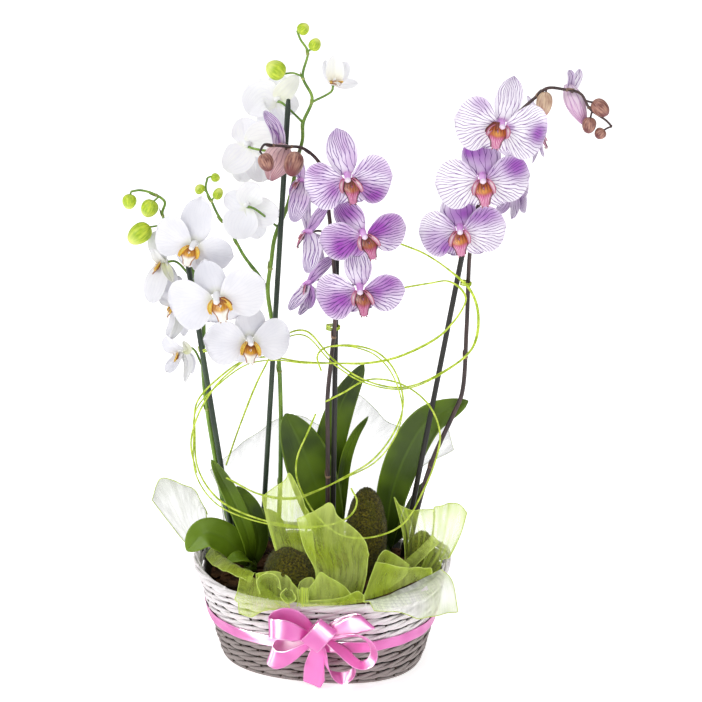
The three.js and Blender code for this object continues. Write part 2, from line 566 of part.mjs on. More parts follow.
// Sheer wrap: each sheet runs from its gathered foot over a middle line to its hem, each line given
// by points from left to right.
const SHEETS = {
  wrap_tall_front: {
    colour: "sheerGreen",
    foot: [[-8, -70, 90], [8, -76, 89], [24, -73, 89], [38, -66, 89]],
    middle: [[-18, -64, 128], [0, -66, 140], [20, -66, 140], [42, -62, 116]],
    hem: [[-24, -54, 168], [-8, -52, 179], [9, -50, 187], [26, -54, 166], [40, -56, 148], [50, -60, 128]],
  },
  wrap_right_fan: {
    colour: "sheerGreen",
    foot: [[44, -66, 90], [52, -62, 89], [62, -60, 89], [70, -62, 90]],
    middle: [[50, -60, 112], [62, -50, 112], [82, -50, 108], [88, -58, 104]],
    hem: [[57, -56, 131], [66, -46, 134], [82, -42, 122], [100, -46, 117], [116, -54, 117], [106, -62, 112]],
  },
  wrap_right_wing: {
    draped: true,
    colour: "sheerWhite",
    foot: [[52, -74, 91], [66, -72, 90], [78, -68, 90], [88, -62, 90]],
    middle: [[60, -92, 106], [84, -86, 112], [104, -78, 116], [118, -64, 122]],
    hem: [[68, -106, 94], [97, -102, 82], [120, -94, 80], [140, -84, 82], [146, -72, 98], [138, -62, 118]],
  },
  wrap_right_back: {
    colour: "sheerGreen",
    foot: [[96, -14, 90], [104, -20, 91], [110, -24, 92]],
    middle: [[90, -10, 130], [114, -14, 128], [128, -18, 126]],
    hem: [[80, -8, 168], [92, -10, 160], [107, -4, 160], [122, -2, 163], [136, -4, 166], [150, -8, 158]],
  },
  wrap_front_ruffle: {
    draped: true,
    colour: "sheerGreen",
    foot: [[-78, -52, 93], [-60, -66, 91], [-40, -74, 91], [-26, -78, 91]],
    middle: [[-88, -64, 115], [-70, -73, 122], [-48, -80, 125], [-26, -84, 119]],
    hem: [[-85, -87, 90], [-70, -95, 83], [-50, -99, 86], [-36, -103, 94], [-22, -104, 100]],
  },
  wrap_front_peak: {
    draped: true,
    colour: "sheerGreen",
    foot: [[-20, -80, 91], [0, -82, 91], [20, -82, 91], [40, -80, 91]],
    middle: [[-20, -88, 112], [0, -89, 117], [20, -90, 119], [40, -88, 111]],
    hem: [[-18, -105, 101], [0, -107, 98], [22, -107, 97], [42, -105, 100]],
  },
  wrap_left_band: {
    colour: "sheerGreen",
    foot: [[-116, 6, 96], [-106, -14, 95], [-94, -34, 94], [-84, -46, 93]],
    middle: [[-124, 6, 112], [-112, -18, 110], [-98, -38, 108], [-88, -50, 107]],
    hem: [[-130, 4, 118], [-120, -18, 117], [-106, -40, 116], [-94, -52, 116]],
  },
  wrap_left_wing: {
    colour: "sheerWhite",
    foot: [[-114, 24, 96], [-114, 18, 97], [-114, 12, 97]],
    middle: [[-136, 26, 142], [-132, 24, 146], [-128, 20, 140]],
    hem: [[-174, 20, 158], [-168, 28, 178], [-150, 30, 181], [-134, 28, 172], [-126, 24, 154]],
  },
  wrap_back_film: {
    colour: "sheerWhite",
    foot: [[-90, 58, 90], [-72, 70, 90], [-33, 81, 90], [14, 77, 90], [56, 66, 90], [84, 50, 91]],
    middle: [[-102, 76, 142], [-76, 90, 152], [-33, 99, 157], [14, 96, 160], [60, 84, 160], [96, 72, 154]],
    hem: [[-112, 84, 164], [-74, 98, 192], [-28, 106, 216], [10, 102, 206], [36, 98, 240],
      [66, 92, 212], [98, 88, 204], [126, 84, 216], [136, 76, 184]],
  },
};

function sheetPoint({ foot, middle, hem }, v, u) {
  const [low, mid, high] = [foot, middle, hem].map((line) =>
    new THREE.CatmullRomCurve3(line.map(vec)).getPoint(u),
  );
  const [a, b, c] = [(1 - v) * (1 - 2 * v), 4 * v * (1 - v), v * (2 * v - 1)];
  return low.multiplyScalar(a).addScaledVector(mid, b).addScaledVector(high, c);
}

function sheet(shape) {
  const columns = [];
  const count = shape.hem.length + 2;
  for (let i = 0; i <= count; i++) columns.push(i / count);
  const rows = shape.draped ? [0, 0.33, 0.67, 1] : [0, 0.5, 1];
  return blade((v, u) => sheetPoint(shape, v, u), rows, columns, SHEER_THICK);
}

// Ribbon: a band round the wall, and a bow of loops and a tail tied over its front.
const BOW_AT = [-2.2, -93, 61]; // in the layout frame

function ribbonBand() {
  return revolve((turn) => {
    const [low, high] = [RIBBON.low, RIBBON.high].map((share) => share * rimHeight(turn));
    const [inner, outer] = [RIBBON.standoff, RIBBON.standoff + RIBBON.thick];
    return [
      wallPoint(turn, low, inner),
      wallPoint(turn, low, outer),
      wallPoint(turn, high, outer),
      wallPoint(turn, high, inner),
    ];
  }, STAKES);
}

// Loops of the bow on a plane that leans as the wall does. Each row is the middle of the ribbon from the
// knot (right, up, towards the viewer) and half its breadth as a vector in the same directions.
const BOW_LEAN = 0.55;
const BOW_VIEW = THREE.MathUtils.degToRad(18);
const BOW_LOOPS = [
  [[-3, 4, 6, 1.5, 4, 0], [-24, 21, 5, 3, 10, 0], [-40, 22, 8, 0.5, 10.8, 0], [-48.5, 14.8, 14, 0, 10.6, 0],
    [-40, 13, 19, 0.5, 10.8, 0], [-22, 8.5, 18, 1.5, 9, 0], [-3, 2, 10, 1, 3.5, 0]],
  [[-3, -1, 6, 0, 3, 2], [-25, -2, 6.5, -2, 7.5, 5], [-41, -4, 9, 2, 8, 7], [-46.5, -14, 14, 4.5, 6, 8],
    [-37, -26, 19, 5, 8.5, 4], [-17, -13, 16, 4.5, 8, 0], [-3, -2.5, 9, 1, 3, 0]],
  [[3, 4, 5, -1, 3, 0], [24, 14, 4, -3, 8, 0], [44, 20, 6, -6.5, 7.5, 0], [49, 19.5, 11, -7, 7, 0],
    [40, 17.5, 15, -5, 8.5, 0], [18, 10, 14, -1.5, 7.5, 0], [3, 3, 9, -0.5, 3, 0]],
  [[4, 0, 8, 0, 2.5, 2], [28, 4, 12, 1, 3.5, 8.5], [47, 2, 16, 1.5, 2.5, 10], [55, -12, 18, 3.2, 0, 10.3],
    [49, -25, 18, 2, -2, 10.4], [34, -22, 17.5, -1.8, -3, 10], [5, -1.5, 9, 0, -2, 3]],
  [[2, -4, 7, 2, 0, 2.5], [6, -20, 10, 3, 0, 8], [11.5, -37, 13, 2, -2.5, 9.5], [23, -43, 14, 0.5, -4.8, 9],
    [34, -37, 13, 0.8, -3, 9.8], [32, -23, 10.5, 1.5, -1.5, 9.4], [5, -2, 6, 1, -1, 3]],
];
const BOW_TAIL = [[-1, -8, 7, 5, 0, 0], [-4.5, -30, 9, 10, -0.5, 0], [-5, -50, 10, 11, 0, 0]];
const CENTRE_LOOP = { at: [0.4, 5.4, 16], along: [0.65, 0.76], half: 15.4, deep: 9, breadth: [8, -6.9, 0] };

function bowSpace([right, up, near]) {
  const [sin, cos] = [Math.sin(BOW_VIEW), Math.cos(BOW_VIEW)];
  const forward = near + BOW_LEAN * up;
  return new THREE.Vector3(right, up * sin - forward * cos, up * cos + forward * sin);
}

function centreRows() {
  const { at: [x, y, z], along, half, deep, breadth } = CENTRE_LOOP;
  const rows = [];
  for (let k = 0; k <= 6; k++) {
    const turn = -2.2 + 0.97 * 2 * Math.PI * (k / 6);
    const out = half * Math.cos(turn);
    rows.push([x + out * along[0], y + out * along[1], z + deep * Math.sin(turn), ...breadth]);
  }
  return rows;
}

function bowRibbon(rows) {
  const pointAt = (k, s) => bowSpace(rows[k]).addScaledVector(bowSpace(rows[k].slice(3)), s);
  return blade(pointAt, [...rows.keys()], [-1, 1], RIBBON.thick);
}

function bow() {
  const pieces = [...BOW_LOOPS, BOW_TAIL, centreRows()].map(bowRibbon);
  pieces.push(ovoid(bowSpace([0, 0, 7]).toArray(), [8, 7, 8], 5, 4));
  const made = joined(pieces);
  made.translate(...BOW_AT);
  made.rotateZ(LAYOUT_YAW);
  return made;
}

// Bark that fills the liner, with a plain hole for each stem, stick and crown.
function bark() {
  const outward = LINER_OUT - LINER_THICK - BARK_CLEAR;
  const low = LINER_FLOOR + LINER_THICK + GAP;
  let body = solid(
    revolve(
      (turn) => [
        new THREE.Vector3(0, 0, low),
        wallPoint(turn, low, outward),
        wallPoint(turn, BARK_TOP, outward),
        new THREE.Vector3(0, 0, BARK_TOP),
      ],
      STAKES / 2,
    ),
  );
  const above = BARK_TOP + 30;
  const holes = [];
  for (const stick of Object.values(STICKS)) {
    const [low, high] = stickEnds(stick);
    const share = (above - low[2]) / (high[2] - low[2]);
    const end = vec(low).lerp(vec(high), share);
    holes.push(rod(low, end.toArray(), STICK_RADIUS + 1, 6));
  }
  for (const { lower } of Object.values(STEMS)) holes.push(rod(lower[0], lower[1], STEM_RADIUS + 1.4, 6));
  for (const { crown: [x, y] } of Object.values(CROWNS))
    holes.push(rod([x, y, 73], [x, y, above], CROWN_RADIUS + 0.6, 8));
  for (const hole of holes) {
    hole.rotateZ(LAYOUT_YAW);
    body = body.subtract(solid(hole));
  }
  return geometryOf(body);
}

function piece(name, geometry, colour, roughness = 0.6) {
  const material = new THREE.MeshStandardMaterial({ color: COLOURS[colour], roughness, metalness: 0 });
  const mesh = new THREE.Mesh(geometry, material);
  mesh.name = name;
  return mesh;
}

function basketGroup() {
  const group = new THREE.Group();
  group.add(
    piece("basket_base", basketBase(), "wickerGrey", 0.8),
    piece("basket_wall_lower", lowerWall(), "wickerGrey", 0.8),
    piece("basket_wall_upper", upperWall(), "wickerWhite", 0.8),
    piece("basket_rim", rim(), "wickerWhite", 0.8),
    piece("liner", liner(), "liner", 0.4),
    piece("bark", bark(), "bark", 0.95),
    piece("ribbon_band", ribbonBand(), "pink", 0.35),
    piece("ribbon_bow", bow(), "pink", 0.35),
  );
  return group;
}

function plantGroup() {
  const group = new THREE.Group();
  group.rotation.z = LAYOUT_YAW;
  for (const [name, stick] of Object.entries(STICKS)) {
    const [low, high] = stickEnds(stick);
    group.add(piece(name, rod(low, high, STICK_RADIUS, 6), "stick", 0.5));
  }
  for (const [name, stem] of Object.entries(STEMS))
    group.add(piece(name, flowerStem(name, stem), stem.colour, 0.5));
  for (const [name, rosette] of Object.entries(CROWNS)) group.add(piece(name, leafRosette(rosette), "leaf", 0.4));
  for (const [name, kind, at, facing, size, open] of BLOOMS) {
    const mesh = piece("bloom_" + name, bloom(size, open), kind === "white" ? "white" : "striped", 0.5);
    mesh.applyMatrix4(bloomMatrix(at, facing));
    group.add(mesh);
  }
  return group;
}

function trimGroup() {
  const group = new THREE.Group();
  group.rotation.z = LAYOUT_YAW;
  for (const [name, egg] of Object.entries(MOSS)) group.add(piece(name, mossEgg(egg), "moss", 1));
  for (const [name, points] of Object.entries(CANES)) group.add(piece(name, cane(points), "cane", 0.4));
  for (const [name, shape] of Object.entries(SHEETS)) group.add(piece(name, sheet(shape), shape.colour, 0.5));
  return group;
}

const arrangement = new THREE.Group();
arrangement.add(basketGroup(), plantGroup(), trimGroup());

export default arrangement;
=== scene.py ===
"""Four moth orchids in an oval wicker basket, with rattan canes, sheer wrap, moss eggs and a pink bow.

Lengths here are millimetres, as the object's own measures are, and become metres where a mesh is made.
The plants are laid out in a frame turned about Z from the basket's: there x runs to the viewer's right,
y away from the viewer and z up. The basket's own frame has its origin under the middle of the basket.
"""
import math
import random

import bpy
import numpy as np
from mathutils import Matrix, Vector, noise


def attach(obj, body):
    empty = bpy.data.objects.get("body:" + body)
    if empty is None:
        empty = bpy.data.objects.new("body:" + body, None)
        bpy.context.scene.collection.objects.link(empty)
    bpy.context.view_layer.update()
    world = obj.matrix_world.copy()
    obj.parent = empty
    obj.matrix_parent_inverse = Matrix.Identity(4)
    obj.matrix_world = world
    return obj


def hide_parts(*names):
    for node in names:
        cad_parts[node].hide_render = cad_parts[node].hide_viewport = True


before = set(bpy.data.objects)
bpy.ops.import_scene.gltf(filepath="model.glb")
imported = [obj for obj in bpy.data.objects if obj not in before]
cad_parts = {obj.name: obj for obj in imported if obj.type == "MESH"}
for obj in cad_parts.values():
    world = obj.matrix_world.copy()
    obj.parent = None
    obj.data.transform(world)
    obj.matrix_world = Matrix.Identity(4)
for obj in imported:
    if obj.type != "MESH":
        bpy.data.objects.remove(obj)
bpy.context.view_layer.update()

MM = 0.001
LAYOUT_YAW = math.radians(10)
FULL_TURN = 2 * math.pi

# Camera, worked out from the photograph: it looks down on the object and a little from its right
CAMERA_AZIMUTH = math.radians(10)
CAMERA_ELEVATION = math.radians(18)
CAMERA_DISTANCE = 1500
CAMERA_TARGET = (30, 0, 331)  # in the layout frame
FRAME_SIZE = 702  # the photograph is this many pixels wide and high
FRAME_MIDDLE = FRAME_SIZE / 2
FOCAL = 1500  # pixels
SENSOR = 36

# Basket
BASKET = {"rim_x": 131, "rim_y": 95, "bottom_x": 105, "bottom_y": 75, "squareness": 2.4}
RIM_FRONT_Z = 95
RIM_END_RISE = 12
RIM_RADIUS = 4.5
BASE_THICK = 4
STAKES = 30
STAKE_RADIUS = 1.3
WEAVE_ROWS = 9
GREY_ROWS = 5  # the rows above these are whitewashed
RIBBON = {"low": 0.45, "high": 0.59, "thick": 0.5, "standoff": 3.4}
BARK_TOP = 86

# Plants
STICK_RADIUS = 2.8
STEM_RADIUS = 2.5
SPRAY_RADIUS = 1.7
PEDICEL_RADIUS = 1.2
CANE_RADIUS = 1
ROOT_Z = 58
PEDICEL_BEND = 0.2  # how far behind a bloom's middle its stalk turns to it, as a share of the bloom's width
PEDICEL_END = 0.03


def lerp(a, b, share):
    return a + (b - a) * share


def unit(vectors):
    length = np.linalg.norm(vectors, axis=-1, keepdims=True)
    return vectors / np.maximum(length, 1e-9)


def spread(*values):
    """Arrays of numbers, brought to one size and stacked as points."""
    return np.stack(np.broadcast_arrays(*values), -1)


def turned(points, yaw):
    """Points turned about Z; by LAYOUT_YAW they come from the layout's frame into the basket's."""
    x, y, z = np.asarray(points, float).T
    cos, sin = math.cos(yaw), math.sin(yaw)
    return np.stack([x * cos - y * sin, x * sin + y * cos, z], 1)


def ring_turns(count):
    """Angles of points at equal distances round a circle."""
    return np.arange(count) * FULL_TURN / count


def wobble(turns, rate, seed):
    """Noise that runs on without a step round a closed line."""
    return np.array([noise.noise(Vector((rate * math.cos(t), rate * math.sin(t), seed))) for t in turns])


def distances(line):
    """How far along a line each of its points is."""
    return np.concatenate([[0], np.cumsum(np.linalg.norm(np.diff(line, axis=0), axis=1))])


def sampled(line, along, at):
    """Points at the given places of a line, whose own points are at the places along."""
    return np.stack([np.interp(at, along, line[:, k]) for k in range(3)], 1)


def smooth(values, count):
    """Samples of a smooth line through the values along their first axis, whatever else they hold."""
    values = np.asarray(values, float)
    padded = np.concatenate([[2 * values[0] - values[1]], values, [2 * values[-1] - values[-2]]])
    at = np.linspace(0, len(values) - 1, count)
    low = np.minimum(at.astype(int), len(values) - 2)
    t = (at - low).reshape(-1, *[1] * (values.ndim - 1))
    p0, p1, p2, p3 = (padded[low + k] for k in range(4))
    return p1 + 0.5 * t * (p2 - p0 + t * (2 * p0 - 5 * p1 + 4 * p2 - p3 + t * (3 * (p1 - p2) + p3 - p0)))


def curve(points, count):
    """A smooth line through the points, as centripetal Catmull-Rom, with count evenly spaced samples."""
    points = np.asarray(points, float)
    first, last = 2 * points[0] - points[1], 2 * points[-1] - points[-2]
    padded = np.vstack([first, points, last])
    spans = []
    for i in range(len(points) - 1):
        p0, p1, p2, p3 = padded[i:i + 4]
        d0, d1, d2 = (np.linalg.norm(b - a) ** 0.5 for a, b in ((p0, p1), (p1, p2), (p2, p3)))
        start = ((p1 - p0) / d0 - (p2 - p0) / (d0 + d1) + (p2 - p1) / d1) * d1
        end = ((p2 - p1) / d1 - (p3 - p1) / (d1 + d2) + (p3 - p2) / d2) * d1
        t = np.linspace(0, 1, 24, endpoint=False)[:, None]
        spans.append(p1 + start * t + (3 * (p2 - p1) - 2 * start - end) * t**2
                     + (2 * (p1 - p2) + start + end) * t**3)
    fine = np.vstack([*spans, points[-1:]])
    along = distances(fine)
    return sampled(fine, along, np.linspace(0, along[-1], count))


def seen(points):
    """The layout's places of points that show at a pixel (across, down), at a distance behind its middle."""
    across, down, y = np.asarray(points, float).T
    sin, cos = math.sin(CAMERA_ELEVATION), math.cos(CAMERA_ELEVATION)
    rise = (FRAME_MIDDLE - down) / FOCAL
    z = (rise * (CAMERA_DISTANCE + y * cos) - y * sin) / (cos + rise * sin)
    depth = CAMERA_DISTANCE - z * sin + y * cos
    x = CAMERA_TARGET[0] + (across - FRAME_MIDDLE) / FOCAL * depth
    return np.stack([x, y, z + CAMERA_TARGET[2]], 1)


def sideways(axis, helper):
    """Two directions that are square to an axis and to each other."""
    side = unit(np.cross(axis, helper))
    return side, np.cross(axis, side)


def circle(turns, radius, side, other):
    """The way from an axis to the points round it, at the given turns."""
    return np.outer(radius * np.cos(turns), side) + np.outer(radius * np.sin(turns), other)


def quads(rows, columns, joined=False):
    """Faces between the points of a grid, rows by columns; joined closes each row to a ring."""
    index = np.arange(rows * columns).reshape(rows, columns)
    right = np.roll(index, -1, 1)
    faces = np.stack([index[:-1], right[:-1], right[1:], index[1:]], -1)
    return faces[:, :columns if joined else columns - 1].reshape(-1, 4)


def grid_normals(grid):
    return unit(np.cross(np.gradient(grid, axis=1), np.gradient(grid, axis=0)))


class Shape:
    """Points and faces in millimetres, a material number a face, and flat coordinates and tones a point."""

    def __init__(self):
        self.points = []
        self.faces = []
        self.slots = []
        self.flats = []
        self.tones = []
        self.count = 0

    def add(self, points, faces, slot=0, flat=None, tone=None):
        points = np.asarray(points, float).reshape(-1, 3)
        self.points.append(points)
        self.flats.append(np.zeros_like(points) if flat is None else np.asarray(flat).reshape(-1, 3))
        self.tones.append(np.zeros_like(points) if tone is None else np.asarray(tone).reshape(-1, 3))
        self.faces += [[self.count + k for k in face] for face in np.asarray(faces).tolist()]
        self.slots += [slot] * len(faces)
        self.count += len(points)

    def move(self, matrix):
        """Applies a 4 by 4 matrix to everything so far."""
        self.points = [p @ matrix[:3, :3].T + matrix[:3, 3] for p in self.points]

    def blade(self, grid, thickness, slot=0, flat=None, tone=None):
        """A closed thin leaf over a grid of points, rows by columns, on its middle surface."""
        rows, columns = grid.shape[:2]
        half = grid_normals(grid) * np.asarray(thickness) / 2
        front = quads(rows, columns)
        under = rows * columns
        index = np.arange(under).reshape(rows, columns)
        edge = np.concatenate([index[0, :-1], index[:-1, -1], index[-1, :0:-1], index[:0:-1, 0]])
        following = np.roll(edge, -1)
        side = np.stack([edge, edge + under, following + under, following], -1)
        flat, tone = (None if one is None else np.tile(one.reshape(-1, 3), (2, 1)) for one in (flat, tone))
        self.add(np.concatenate([(grid + half).reshape(-1, 3), (grid - half).reshape(-1, 3)]),
                 np.concatenate([front, front[:, ::-1] + under, side]), slot, flat, tone)

    def film(self, grid, slot=0, flat=None, tone=None):
        """One layer of faces over a grid of points, for sheer cloth."""
        self.add(grid, quads(*grid.shape[:2]), slot, flat, tone)

    def ring(self, grid, slot=0, flat=None):
        """A closed surface whose grid joins up both ways: sections by points of a section."""
        index = np.arange(grid.shape[0] * grid.shape[1]).reshape(grid.shape[:2])
        right, below = np.roll(index, -1, 1), np.roll(index, -1, 0)
        faces = np.stack([index, below, np.roll(below, -1, 1), right], -1)
        self.add(grid, faces.reshape(-1, 4), slot, flat)

    def shell(self, grid, slot=0, flat=None, flip=False):
        """A closed surface of rings of points, with a cap at each end; flip turns its faces round."""
        rows, columns = grid.shape[:2]
        around = np.arange(columns)
        way = -1 if flip else 1
        self.add(grid, quads(rows, columns, joined=True)[:, ::way], slot, flat)
        base = self.count - rows * columns
        caps = [base + around[::-1], base + (rows - 1) * columns + around]
        self.faces += [cap[::way].tolist() for cap in caps]
        self.slots += [slot, slot]

    def tube(self, line, radii, sides=10, slot=0):
        """A round tube along a line, with domed ends."""
        line = np.asarray(line, float)
        radii = np.broadcast_to(np.asarray(radii, float), (len(line),))
        tangents = unit(np.gradient(line, axis=0))
        helper = np.array((0.0, 0.0, 1.0)) if abs(tangents[0][2]) < 0.9 else np.array((1.0, 0.0, 0.0))
        normal = unit(np.cross(tangents[0], helper))
        turns = ring_turns(sides)
        rings = []
        for point, tangent, radius in zip(line, tangents, radii):
            normal = unit(normal - tangent * (normal @ tangent))
            other = np.cross(tangent, normal)
            rings.append(point + circle(turns, radius, normal, other))
        count = len(line)
        flats = spread(np.linspace(0, 1, count)[:, None], np.arange(sides) / sides, 0.0)
        self.add(np.concatenate(rings), quads(count, sides, joined=True), slot, flats)
        ends = np.stack([line[0] - tangents[0] * radii[0] * 0.4, line[-1] + tangents[-1] * radii[-1] * 0.4])
        base = self.count - count * sides
        self.add(ends, np.zeros((0, 3), int), slot)
        low, high = self.count - 2, self.count - 1
        last = base + (count - 1) * sides
        for k in range(sides):
            m = (k + 1) % sides
            self.faces += [[low, base + m, base + k], [high, last + k, last + m]]
            self.slots += [slot, slot]


RIBBON_MAP = "ribbon"  # across and along the ribbon, which tells the satin which way its threads run


def map_threads(mesh):
    """Keeps the flat coordinates as a map too, across first, for the satin's gloss."""
    flats = np.zeros(len(mesh.vertices) * 3)
    mesh.attributes["flat"].data.foreach_get("vector", flats)
    corners = np.zeros(len(mesh.loops), int)
    mesh.loops.foreach_get("vertex_index", corners)
    threads = flats.reshape(-1, 3)[corners][:, 1::-1]
    mesh.uv_layers.new(name=RIBBON_MAP).data.foreach_set("uv", threads.ravel())


def placed(name, data):
    """An object that holds the data, in the scene."""
    made = bpy.data.objects.new(name, data)
    bpy.context.scene.collection.objects.link(made)
    return made


def make(name, shape, paints, slot, replaced=(), layout=True, smooth_faces=True):
    """A piece of the object, which rides on its one body, from a shape."""
    points = np.concatenate(shape.points)
    if layout:
        points = turned(points, LAYOUT_YAW)
    mesh = bpy.data.meshes.new(name)
    mesh.from_pydata((points * MM).tolist(), [], shape.faces)
    for key, values in (("flat", shape.flats), ("tone", shape.tones)):
        mesh.attributes.new(key, "FLOAT_VECTOR", "POINT")
        mesh.attributes[key].data.foreach_set("vector", np.concatenate(values).ravel())
    for paint in paints:
        mesh.materials.append(PAINTS[paint])
    mesh.polygons.foreach_set("material_index", shape.slots)
    mesh.polygons.foreach_set("use_smooth", [smooth_faces] * len(mesh.polygons))
    mesh.update()
    if slot == "ribbon":
        map_threads(mesh)
    piece = placed(name, mesh)
    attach(piece, "root")
    if replaced:
        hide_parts(*replaced)
    return piece


# Materials

def linear(shares):
    """A colour for the shaders, from the three screen values, 0 to 255, that it shows as."""
    return (*[((c / 255 + 0.055) / 1.055) ** 2.4 if c > 10 else c / 255 / 12.92 for c in shares], 1.0)


WHITE = (255, 255, 255)
SHADER_SOCKETS = {
    "sheen": "Sheen Weight",
    "sheen_roughness": "Sheen Roughness",
    "coat": "Coat Weight",
    "coat_roughness": "Coat Roughness",
    "specular": "Specular IOR Level",
    "anisotropic": "Anisotropic",
}


class Value:
    """The output of a node, which counts like a number: each sign adds a node."""

    def __init__(self, nodes, socket):
        self.nodes = nodes
        self.socket = socket

    def __add__(self, other):
        return self.nodes.math("ADD", self, other)

    def __radd__(self, other):
        return self.nodes.math("ADD", other, self)

    def __sub__(self, other):
        return self.nodes.math("SUBTRACT", self, other)

    def __rsub__(self, other):
        return self.nodes.math("SUBTRACT", other, self)

    def __mul__(self, other):
        return self.nodes.math("MULTIPLY", self, other)

    def __truediv__(self, other):
        return self.nodes.math("DIVIDE", self, other)

    def __rtruediv__(self, other):
        return self.nodes.math("DIVIDE", other, self)

    def __pow__(self, other):
        return self.nodes.math("POWER", self, other)

    def __abs__(self):
        return self.nodes.math("ABSOLUTE", self)


class Nodes:
    """A node tree under construction: each call adds a node and gives back its output."""

    def __init__(self, tree):
        self.tree = tree

    def node(self, kind, **settings):
        made = self.tree.nodes.new("ShaderNode" + kind)
        for key, value in settings.items():
            setattr(made, key, value)
        return made

    def put(self, socket, value):
        """Links a value to a socket, or sets it to a number or a colour in screen values."""
        if isinstance(value, Value):
            self.tree.links.new(value.socket, socket)
        else:
            socket.default_value = linear(value) if socket.type == "RGBA" else value

    def fed(self, made, inputs, output=0):
        """What a node gives out once its inputs, named or numbered, have their values."""
        for key, value in inputs.items():
            self.put(made.inputs[key], value)
        return Value(self, made.outputs[output])

    def place(self):
        """Where a point is, in metres in the basket's frame."""
        return self.fed(self.node("TexCoord"), {}, "Object")

    def carried(self, key):
        """The three values of an attribute that the shape gave its points."""
        return self.split(self.fed(self.node("Attribute", attribute_name=key), {}, "Vector"))

    def split(self, vector):
        made = self.node("SeparateXYZ")
        self.put(made.inputs[0], vector)
        return [Value(self, socket) for socket in made.outputs]

    def join(self, x, y, z):
        return self.fed(self.node("CombineXYZ"), dict(enumerate((x, y, z))))

    def math(self, operation, *values):
        return self.fed(self.node("Math", operation=operation), dict(enumerate(values)))

    def mapped(self, value, low, high, to_low=0.0, to_high=1.0):
        """A soft step from one level to another as the value goes from low to high."""
        made = self.node("MapRange", interpolation_type="SMOOTHSTEP")
        return self.fed(made, {"Value": value, "From Min": low, "From Max": high, "To Min": to_low,
                               "To Max": to_high}, "Result")

    def stretched(self, vector, factors):
        return self.fed(self.node("VectorMath", operation="MULTIPLY"), {0: vector, 1: factors})

    def noise(self, vector, scale, detail=3.0, roughness=0.55):
        return self.fed(self.node("TexNoise"), {"Vector": vector, "Scale": scale, "Detail": detail,
                                                "Roughness": roughness}, "Fac")

    def mix(self, share, first, second):
        return self.fed(self.node("Mix", data_type="RGBA"), {0: share, 6: first, 7: second}, 2)


class Paint(Nodes):
    """A material under construction."""

    def __init__(self, name):
        self.material = bpy.data.materials.new(name)
        self.material.use_nodes = True
        super().__init__(self.material.node_tree)
        self.shader = self.tree.nodes["Principled BSDF"]

    def bump(self, height, distance, strength=1.0):
        """Raises the surface by up to a distance in metres."""
        made = self.node("Bump")
        relief = self.fed(made, {"Strength": strength, "Distance": distance, "Height": height}, "Normal")
        self.put(self.shader.inputs["Normal"], relief)

    def glow(self, strength):
        self.put(self.shader.inputs["Emission Color"], WHITE)
        self.put(self.shader.inputs["Emission Strength"], strength)

    def finish(self, base, roughness=0.5, **plain):
        """Sets the shader's colour and roughness, and any other of its sockets to plain numbers."""
        self.put(self.shader.inputs["Base Color"], base)
        self.put(self.shader.inputs["Roughness"], roughness)
        for key, value in plain.items():
            self.shader.inputs[SHADER_SOCKETS[key]].default_value = value
        return self.material


VEIN_WANDER = 0.7  # veins that one strays to the side
VEIN_COUNT_FROM = 40.5  # keeps the count of veins above zero, with a vein on the midrib
VEIN_BROAD = 0.0046  # a mauve vein's breadth, as a share of the bloom's width
VEIN_MOST = 0.14  # half a line's breadth, as a share of the gap between two, stays under this


def veins(paint, splits_at, width):
    """Lines along a tepal, each of which forks twice on its way out, from 0 between them to 1 on one."""
    reach, number, spacing = paint.carried("flat")
    wash, margin, seed = paint.carried("tone")
    drift = paint.noise(paint.join(reach * 6.0, number * 0.7, seed), 1.0, 1.0)
    number = number + drift * VEIN_WANDER
    late = reach + (drift - 0.5) * 0.2
    first = paint.mapped(late, splits_at, splits_at + 0.12, 0.0, 0.5)
    second = paint.mapped(late, splits_at + 0.13, splits_at + 0.28, 0.0, 0.25)
    nearest = None
    for fork in (0.0, first, second, first + second):
        away = abs(paint.math("FRACT", number + VEIN_COUNT_FROM - fork) - 0.5)
        nearest = away if nearest is None else paint.math("MINIMUM", nearest, away)
    broad = paint.math("MINIMUM", width / paint.math("MAXIMUM", spacing, 0.001), VEIN_MOST)
    lines = paint.mapped(nearest / broad, 0.45, 1.0, 1.0, 0.0)
    broken = paint.noise(paint.join(reach * 34.0, number * 3.0, seed), 1.0, 1.0)
    return lines * paint.mapped(broken, 0.25, 0.5, 0.55, 1.0), reach, wash, margin


def white_petal(name, light, shadow, tint, glow=0.0):
    """White petals with faint grey veins, which turn yellow-green where they are washed; glow is painted
    light, an emission that stands in for light shining through them from behind."""
    paint = Paint(name)
    lines, reach, wash, margin = veins(paint, 0.12, 0.006)
    base = paint.mix(paint.mapped(paint.noise(paint.place(), 24.0), 0.3, 0.7), shadow, light)
    green = paint.math("MAXIMUM", wash, paint.mapped(reach, 0.04, 0.16, 0.4, 0.0))
    base = paint.mix(green * 0.75, base, tint)
    base = paint.mix(lines * 0.14, base, (206, 206, 220))
    base = paint.mix(margin * 0.5, base, (246, 245, 248))
    paint.bump(lines, 0.0002, 0.4)
    # painted light: an emission that makes the petals glow
    paint.glow(glow)
    return paint.finish(base, 0.45, sheen=0.1, specular=0.35)


